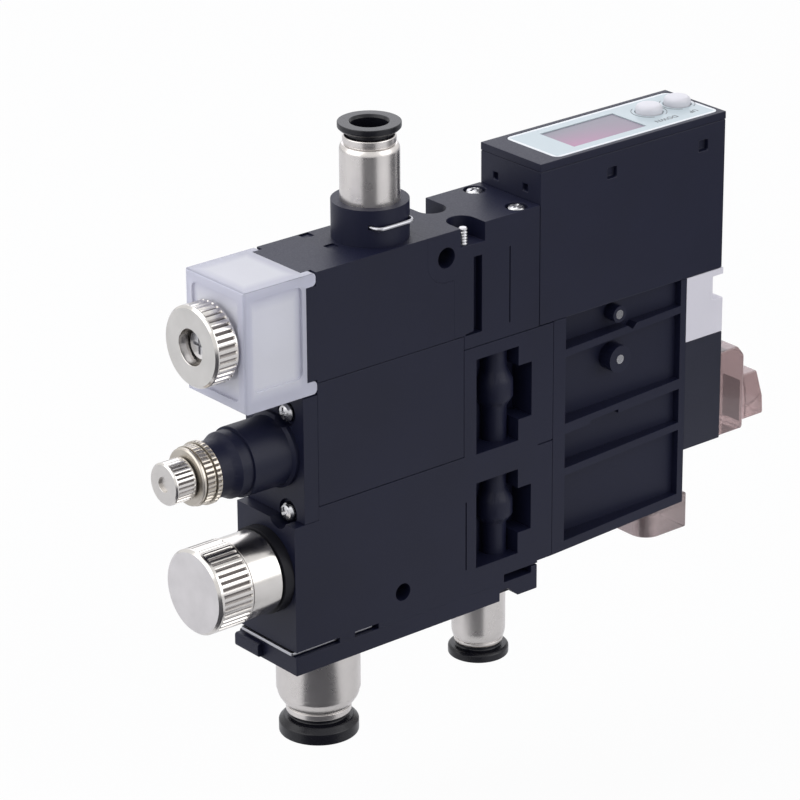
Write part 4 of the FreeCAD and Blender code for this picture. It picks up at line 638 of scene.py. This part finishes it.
knurled_piece("lock_nut", [
    (2.35, 0, 0), (4.7, 0, 0), (4.95, 0.2, 0.08), (4.95, 0.6, 0), (4.7, 0.65, 0), (4.7, 0.8, 0),
    (5.1, 0.85, 0), (5.1, 0.95, 0), (5.1, 2.35, 0), (5.1, 2.45, 0), (4.8, 2.5, 0), (4.8, 2.65, 0),
    (5.4, 2.7, 0), (5.4, 2.8, 0), (5.4, 3.45, 0), (5.4, 3.55, 0), (5.2, 3.6, 0), (2.35, 3.6, 0),
    (2.35, 0, 0),
], [(0.95, 2.35, 5.1), (2.8, 3.45, 5.4)], 36, 0.28)

# Cross recess of a pan-head screw: half an arm's width and length, its floor and the floor's rise
SLIM, ARM, RECESS, RISE = 0.24 * MM, 1.02 * MM, -0.75 * MM, 0.25 * MM
# How far the head stands out of its node, and the head's radius
PROUD = 0.25 * MM
HEAD = 1.7 * MM


def cross_screws(node, facing, places):
    """Pan-head screws with a cross recess, their heads facing along the direction."""
    whole = bmesh.new()
    for place, recess_angle in zip(places, (28, 10)):
        points = eased_profile([
            (0, 0, 0), (0.75, 0.03, 0), (1.3, 0.22, 0), (1.62, 0.6, 0.1), (1.7, 0.95, 0.1),
            (1.7, 1.15, 0), (1.0, 1.15, 0), (1.0, 5.8, 0), (0, 5.8, 0)])
        shell = spun(points, Vector(), AXIS_X, -AXIS_Z, 40)
        for axis in (AXIS_X, AXIS_Y):
            for offset in (-ARM, -SLIM, SLIM, ARM):
                bmesh.ops.bisect_plane(
                    shell, geom=shell.verts[:] + shell.edges[:] + shell.faces[:], dist=1e-7,
                    plane_co=axis * offset, plane_no=axis)
        inner = []
        for face in shell.faces:
            middle = face.calc_center_median()
            across, over = abs(middle.x), abs(middle.y)
            if middle.z > -0.9 * MM and (
                    (across < SLIM and over < ARM) or (over < SLIM and across < ARM)):
                inner.append(face)
        grown = bmesh.ops.extrude_face_region(shell, geom=inner)
        bmesh.ops.delete(shell, geom=inner, context="FACES")
        for vert in grown["geom"]:
            if isinstance(vert, bmesh.types.BMVert):
                vert.co.z = RECESS + RISE * vert.co.to_2d().length / ARM
                vert.co.x *= 0.8
                vert.co.y *= 0.8
        aim = facing.to_track_quat("Z", "Y").to_matrix().to_4x4()
        turn = Matrix.Rotation(math.radians(recess_angle), 4, "Z")
        shell.transform(Matrix.Translation(place + facing * PROUD) @ aim @ turn)
        one = bpy.data.meshes.new("screw")
        shell.to_mesh(one)
        shell.free()
        whole.from_mesh(one)
        bpy.data.meshes.remove(one)
    return new_piece(f"{node}_crossed", whole, node, 30)


low, high = ends_of("plate_screws")
cross_screws("plate_screws", -AXIS_X, [
    Vector((low.x, (low.y + high.y) / 2, height)) for height in (low.z + HEAD, high.z - HEAD)])
low, high = ends_of("manifold_screws")
cross_screws("manifold_screws", AXIS_Z, [
    Vector(((low.x + high.x) / 2, side, high.z)) for side in (low.y + HEAD, high.y - HEAD)])

# Threaded end of the set screw in the lug's notch
low, high = ends_of("notch_screw")
height = (high.z - low.z) / MM
THREAD_TURNS = 5
thread = [(0, 0, 0), (0.8, 0, 0)]
for number in range(THREAD_TURNS):
    foot = (number + 0.2) * (height - 0.4) / THREAD_TURNS
    thread += [(0.8, foot, 0), (0.62, foot + 0.22, 0), (0.8, foot + 0.44, 0)]
thread += [(0.8, height - 0.2, 0), (0.6, height, 0), (0, height, 0)]
turned_piece(
    "notch_screw_threaded", "notch_screw",
    Vector(((low.x + high.x) / 2, (low.y + high.y) / 2, low.z)), 1, thread, 40)

# Tube fittings with rolled lips, and their release rings with rounded rims, in millimetres
FITTINGS = {
    "top": {
        "centre": spot(23.0, 0, 77.8), "way": 1, "depth": 11.0, "neck": 5.0, "radius": 5.05,
        "length": 9.7, "shoulder": 0.55, "lip": 4.5, "mouth": 11.2, "tube": 3.05, "rim": 5.35,
        "thick": 1.2, "groove": 3.6, "gap": 0.8, "under": 0.5,
    },
    "large": {
        "centre": spot(10.7, 0, 0), "way": -1, "depth": 7.6, "neck": 5.6, "radius": 7.25,
        "length": 10.7, "shoulder": 2.0, "lip": 5.65, "mouth": 12.2, "tube": 4.05, "rim": 6.9,
        "thick": 2.9, "groove": None, "gap": 1.0, "under": 0.9,
    },
    "small": {
        "centre": spot(46.8, 0, 0), "way": -1, "depth": 7.4, "neck": 4.2, "radius": 4.75,
        "length": 9.3, "shoulder": 0.8, "lip": 4.35, "mouth": 10.2, "tube": 3.05, "rim": 5.35,
        "thick": 1.6, "groove": None, "gap": 1.0, "under": 0.35,
    },
}
# Wall and depth of a ring's sleeve; below the mouth the seat, the tube's stop, and the bore's step
SLEEVE_WALL, SLEEVE_DEPTH, SEAT_DEPTH, TUBE_DEPTH, BORE_STEP = 0.9, 3.5, 7.1, 7.0, 1.2
for label, m in FITTINGS.items():
    tube, lip, mouth, length = m["tube"], m["lip"], m["mouth"], m["length"]
    neck, depth, radius, shoulder = m["neck"], m["depth"], m["radius"], m["shoulder"]
    sleeve = tube + SLEEVE_WALL
    bore = tube - BORE_STEP
    seat = mouth - SEAT_DEPTH
    stop = seat - TUBE_DEPTH
    corners = [(bore, -depth, 0), (neck, -depth, 0.2)]
    if m["groove"]:
        groove = m["groove"]
        corners += [(neck, -3.3, 0), (groove, -3.3, 0), (groove, -2.5, 0), (neck, -2.5, 0)]
    corners += [(neck, 0, 0), (radius, 0, 0)]
    if label == "large":
        step = radius - 0.22
        corners += [
            (radius, length - 2.9, 0.06), (step, length - 2.85, 0), (step, length - 2.0, 0.3),
            (step - 0.3, length - 1.35, 0), (step - 0.42, length - 1.35, 0),
            (step - 0.5, length - 1.1, 0), (step - 0.72, length - 0.7, 0),
            (step - 0.84, length - 0.7, 0), (lip + 0.15, length, 0.1)]
    else:
        corners += [(radius, length - shoulder, shoulder), (lip + 0.15, length - 0.05, 0.1)]
    corners += [
        (lip - 0.18, length + 0.05, 0.05), (lip - 0.18, length + 0.3, 0.05),
        (lip, length + 0.36, 0.08), (lip, mouth, 0.25), (sleeve + 0.25, mouth, 0.1),
        (sleeve + 0.1, mouth - 0.3, 0), (sleeve + 0.1, seat, 0), (tube, seat, 0), (tube, stop, 0),
        (bore, stop, 0)]
    turned_piece(f"{label}_fitting_turned", f"{label}_fitting", m["centre"], m["way"], corners)
    rim, under = m["rim"], m["under"]
    flange = mouth + m["gap"]
    top = mouth + 1.0 + m["thick"]
    foot = mouth - SLEEVE_DEPTH
    corners = [
        (tube, foot, 0), (sleeve, foot, 0.2), (sleeve, flange - 0.1, 0.3),
        (rim - under, flange, 0.2), (rim, flange + under, 0.15), (rim, top, 0.16),
        (tube + 0.35, top, 0.12), (tube, top - 0.45, 0.12)]
    turned_piece(f"{label}_ring_turned", f"{label}_ring", m["centre"], m["way"], corners)


def drawn_line(name, node, points, thickness, roundness, material, capped=False):
    """A round line along the points that moves with the node."""
    path = bpy.data.curves.new(name, "CURVE")
    path.dimensions = "3D"
    path.bevel_depth = thickness / 2 * MM
    path.bevel_resolution = roundness
    path.use_fill_caps = capped
    line = path.splines.new("POLY")
    line.points.add(len(points) - 1)
    for target, point in zip(line.points, points):
        target.co = (*point, 1)
    path.materials.append(material)
    piece = bpy.data.objects.new(name, path)
    join(piece, node)
    return piece


# Wire clip of the top fitting, bent at both corners
CLIP_X, CLIP_Z = 23.0, 74.9
LEG, LEG_END, REACH, BEND = 3.9, 4.4, 6.9, 1.3
BEND_STEPS = 8
clip_path = [spot(CLIP_X - LEG, LEG_END, CLIP_Z)]
for side in (-1, 1):
    for step in range(BEND_STEPS + 1):
        share = step / BEND_STEPS if side < 0 else 1 - step / BEND_STEPS
        angle = share * math.pi / 2
        clip_path.append(spot(
            CLIP_X + side * (LEG - BEND + BEND * math.cos(angle)),
            -REACH + BEND - BEND * math.sin(angle), CLIP_Z))
clip_path.append(spot(CLIP_X + LEG, LEG_END, CLIP_Z))
clip = drawn_line("port_clip_wire", "port_clip", clip_path, 0.7, 5, WIRE, capped=True)
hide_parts("port_clip")


# ---- buttons and print on top of the switch

BUTTON_Y, BUTTON_FOOT, STEM_END = 0.9, 78.5, -3.7
PANEL_TOP = 78.45


def domed_button(node, x):
    """Push button with a low dome."""
    corners = [
        (1.6, STEM_END, 0), (1.6, -0.4, 0), (2.4, -0.4, 0), (2.4, 1.35, 0.9), (0, 1.45, 0),
        (0, STEM_END, 0)]
    points = [Vector((0, STEM_END))] + eased_profile(corners, 6)[:-1]
    shell = spun(points, spot(x, BUTTON_Y, BUTTON_FOOT), AXIS_X, AXIS_Z, 64)
    return new_piece(f"{node}_domed", shell, node, 30)


def printed_ring(name, x):
    """Ring round a button, open towards the far and the near side."""
    for side, start in (("left", 115), ("right", -65)):
        angles = [math.radians(start + 13 * step) for step in range(11)]
        arc = [
            spot(x + 3.15 * math.cos(angle), BUTTON_Y + 3.15 * math.sin(angle), PANEL_TOP)
            for angle in angles]
        drawn_line(f"{name}_ring_{side}", "label_panel", arc, 0.12, 1, MARK_GREY)


def printed_word(word, x, y, size):
    """A short word beside a button, read from the far side."""
    text = bpy.data.curves.new(f"{word}_text", "FONT")
    text.body = word.upper()
    text.size = size * MM
    text.extrude = 0.02 * MM
    text.align_x = "CENTER"
    text.align_y = "CENTER"
    holder = bpy.data.objects.new(f"{word}_text", text)
    bpy.context.scene.collection.objects.link(holder)
    bpy.context.view_layer.update()
    mesh = bpy.data.meshes.new_from_object(holder)
    bpy.data.objects.remove(holder)
    place = Matrix.Translation(spot(x, y, PANEL_TOP + 0.01))
    mesh.transform(place @ Matrix.Rotation(math.pi, 4, "Z"))
    piece = bpy.data.objects.new(f"{word}_word", mesh)
    wear(piece, MARK_GREY)
    join(piece, "label_panel")
    return piece


BUTTON_X = {"down": 86.6, "up": 93.3}
for name, x in BUTTON_X.items():
    domed_button(f"{name}_button", x)
for name, x in BUTTON_X.items():
    printed_ring(name, x)
printed_word("down", 86.2, -3.9, 1.5)
printed_word("up", 92.6, -3.9, 1.5)


# ---- stage, lights and camera


def stage_plane(name, corners, material):
    sheet = bmesh.new()
    sheet.faces.new([sheet.verts.new(corner) for corner in corners])
    mesh = bpy.data.meshes.new(name)
    sheet.to_mesh(mesh)
    sheet.free()
    plane = bpy.data.objects.new(name, mesh)
    bpy.context.scene.collection.objects.link(plane)
    plane.data.materials.append(material)
    return plane


def stage_finish(name, tone, rough, size, spread):
    """A mottled matt finish, and the kinds of ray that may see it."""
    finish = Finish(name, tone, rough)
    mottled = finish.group(
        GRAIN, Tone=(*tone, 1), Roughness=rough, Grain_Size=size, Spread=spread)
    finish.feed(mottled, *COLOR_TO_SHADER)
    return finish, add(finish.tree, "ShaderNodeLightPath").outputs


def floor_finish():
    """White to the camera and behind clear plastic, and a third as white in metal."""
    finish, ray = stage_finish("pale floor", (0.82, 0.82, 0.83), 0.9, 60.0, 0.01)
    tree = finish.tree
    glow = add(tree, "ShaderNodeEmission", Color=(1, 1, 1, 1), Strength=1.0)
    mirrored = maths(tree, "MULTIPLY", ray["Is Glossy Ray"], 0.3)
    seen = maths(tree, "MAXIMUM", ray["Is Camera Ray"], mirrored)
    through = maths(tree, "MAXIMUM", seen, ray["Is Transmission Ray"])
    finish.show(maths(tree, "MULTIPLY", through, 0.94), glow.outputs[0])
    return finish.material


def card_finish():
    """Grey that only the object sees: the camera, the lamps and rays from below pass through."""
    finish, ray = stage_finish("backdrop grey", (0.05, 0.05, 0.06), 0.8, 40.0, 0.1)
    tree = finish.tree
    either = maths(tree, "MAXIMUM", ray["Is Camera Ray"], ray["Is Shadow Ray"])
    below = add(tree, "ShaderNodeNewGeometry").outputs["Backfacing"]
    open_air = add(tree, "ShaderNodeBsdfTransparent")
    finish.show(maths(tree, "MAXIMUM", either, below), open_air.outputs[0])
    return finish.material


# The object hangs clear of the floor
HOVER = 0.018
floor_height = cad_box[0][2] - HOVER
reach = 3.0
stage_plane("floor", [
    (-reach, -reach, floor_height), (reach, -reach, floor_height),
    (reach, reach, floor_height), (-reach, reach, floor_height),
], floor_finish())

# The world is plain white where it is seen and lights the object with a softer, bluer tone
world = bpy.data.worlds.new("studio")
bpy.context.scene.world = world
world.use_nodes = True
sky = world.node_tree
sky.nodes.clear()
rays = add(sky, "ShaderNodeLightPath").outputs
direct = maths(sky, "MAXIMUM", rays["Is Camera Ray"], rays["Is Transmission Ray"])
seen = maths(sky, "MAXIMUM", direct, rays["Is Glossy Ray"])
soft = add(sky, "ShaderNodeBackground", Color=(0.93, 0.95, 1.0, 1), Strength=0.5)
white = add(sky, "ShaderNodeBackground", Color=(1, 1, 1, 1), Strength=1.0)
blend = add(sky, "ShaderNodeMixShader", seen, soft.outputs[0], white.outputs[0])
add(sky, "ShaderNodeOutputWorld", Surface=blend.outputs[0])

middle = (Vector(cad_box[0]) + Vector(cad_box[1])) / 2


def soft_box(name, offset, size, power, color=(1, 1, 1)):
    """A lamp panel at the offset from the object's middle, aimed at it."""
    lamp = bpy.data.lights.new(name, "AREA")
    lamp.shape = "RECTANGLE"
    lamp.size, lamp.size_y = size
    lamp.energy = power
    lamp.color = color
    holder = bpy.data.objects.new(name, lamp)
    bpy.context.scene.collection.objects.link(holder)
    holder.location = middle + Vector(offset)
    holder.rotation_euler = (-Vector(offset)).to_track_quat("-Z", "Y").to_euler()
    return holder


soft_box("left soft box", (-0.6, 0.15, 0.35), (0.85, 0.8), 2.4)
soft_box("right soft box", (0.3, -0.6, 0.3), (0.6, 0.6), 1.6)
soft_box("top soft box", (0.0, 0.25, 0.7), (0.6, 0.6), 1.85, (0.95, 0.95, 1.0))
soft_box("back soft box", (0.35, 0.5, 0.3), (0.5, 0.4), 0.45, (0.9, 0.9, 1.0))

CARD_GREY = card_finish()


def low_card(name, azimuth, shift, near, far, narrow, wide):
    """A grey card just above the floor, which shows only as a darker band in the metal."""
    angle = math.radians(azimuth)
    toward = Vector((math.sin(angle), -math.cos(angle), 0))
    across = Vector((math.cos(angle), math.sin(angle), 0)) / 2
    foot = Vector((middle.x, middle.y, floor_height + 0.001)) + across * 2 * shift
    start = foot + toward * near
    end = foot + toward * far
    stage_plane(name, [
        start + across * narrow, start - across * narrow, end - across * wide, end + across * wide,
    ], CARD_GREY)


low_card("front card", -40, -0.018, 0.045, 0.6, 0.07, 0.57)
low_card("right card", 56, 0.0, 0.18, 0.6, 0.2, 0.2)

# Camera at the photograph's viewing angle
AZIMUTH = math.radians(-39.64)
ELEVATION = math.radians(22.76)
ROLL = math.radians(-0.334)
CAMERA_PLACE = Vector((-413.394, -494.398, 242.371)) * MM
back = Vector((
    math.sin(AZIMUTH) * math.cos(ELEVATION), -math.cos(AZIMUTH) * math.cos(ELEVATION),
    math.sin(ELEVATION)))
level = (-back).cross(AXIS_Z).normalized()
upright = level.cross(-back).normalized()
right = math.cos(ROLL) * level + math.sin(ROLL) * upright
up = -math.sin(ROLL) * level + math.cos(ROLL) * upright
lens = bpy.data.cameras.new("camera")
lens.sensor_width = 36.0
lens.lens = 184.995
lens.clip_start = 0.05
lens.clip_end = 20.0
camera = bpy.data.objects.new("camera", lens)
bpy.context.scene.collection.objects.link(camera)
turn = Matrix((right, up, back)).transposed().to_4x4()
camera.matrix_world = Matrix.Translation(CAMERA_PLACE) @ turn
bpy.context.scene.camera = camera
bpy.context.scene.view_settings.view_transform = "Standard"
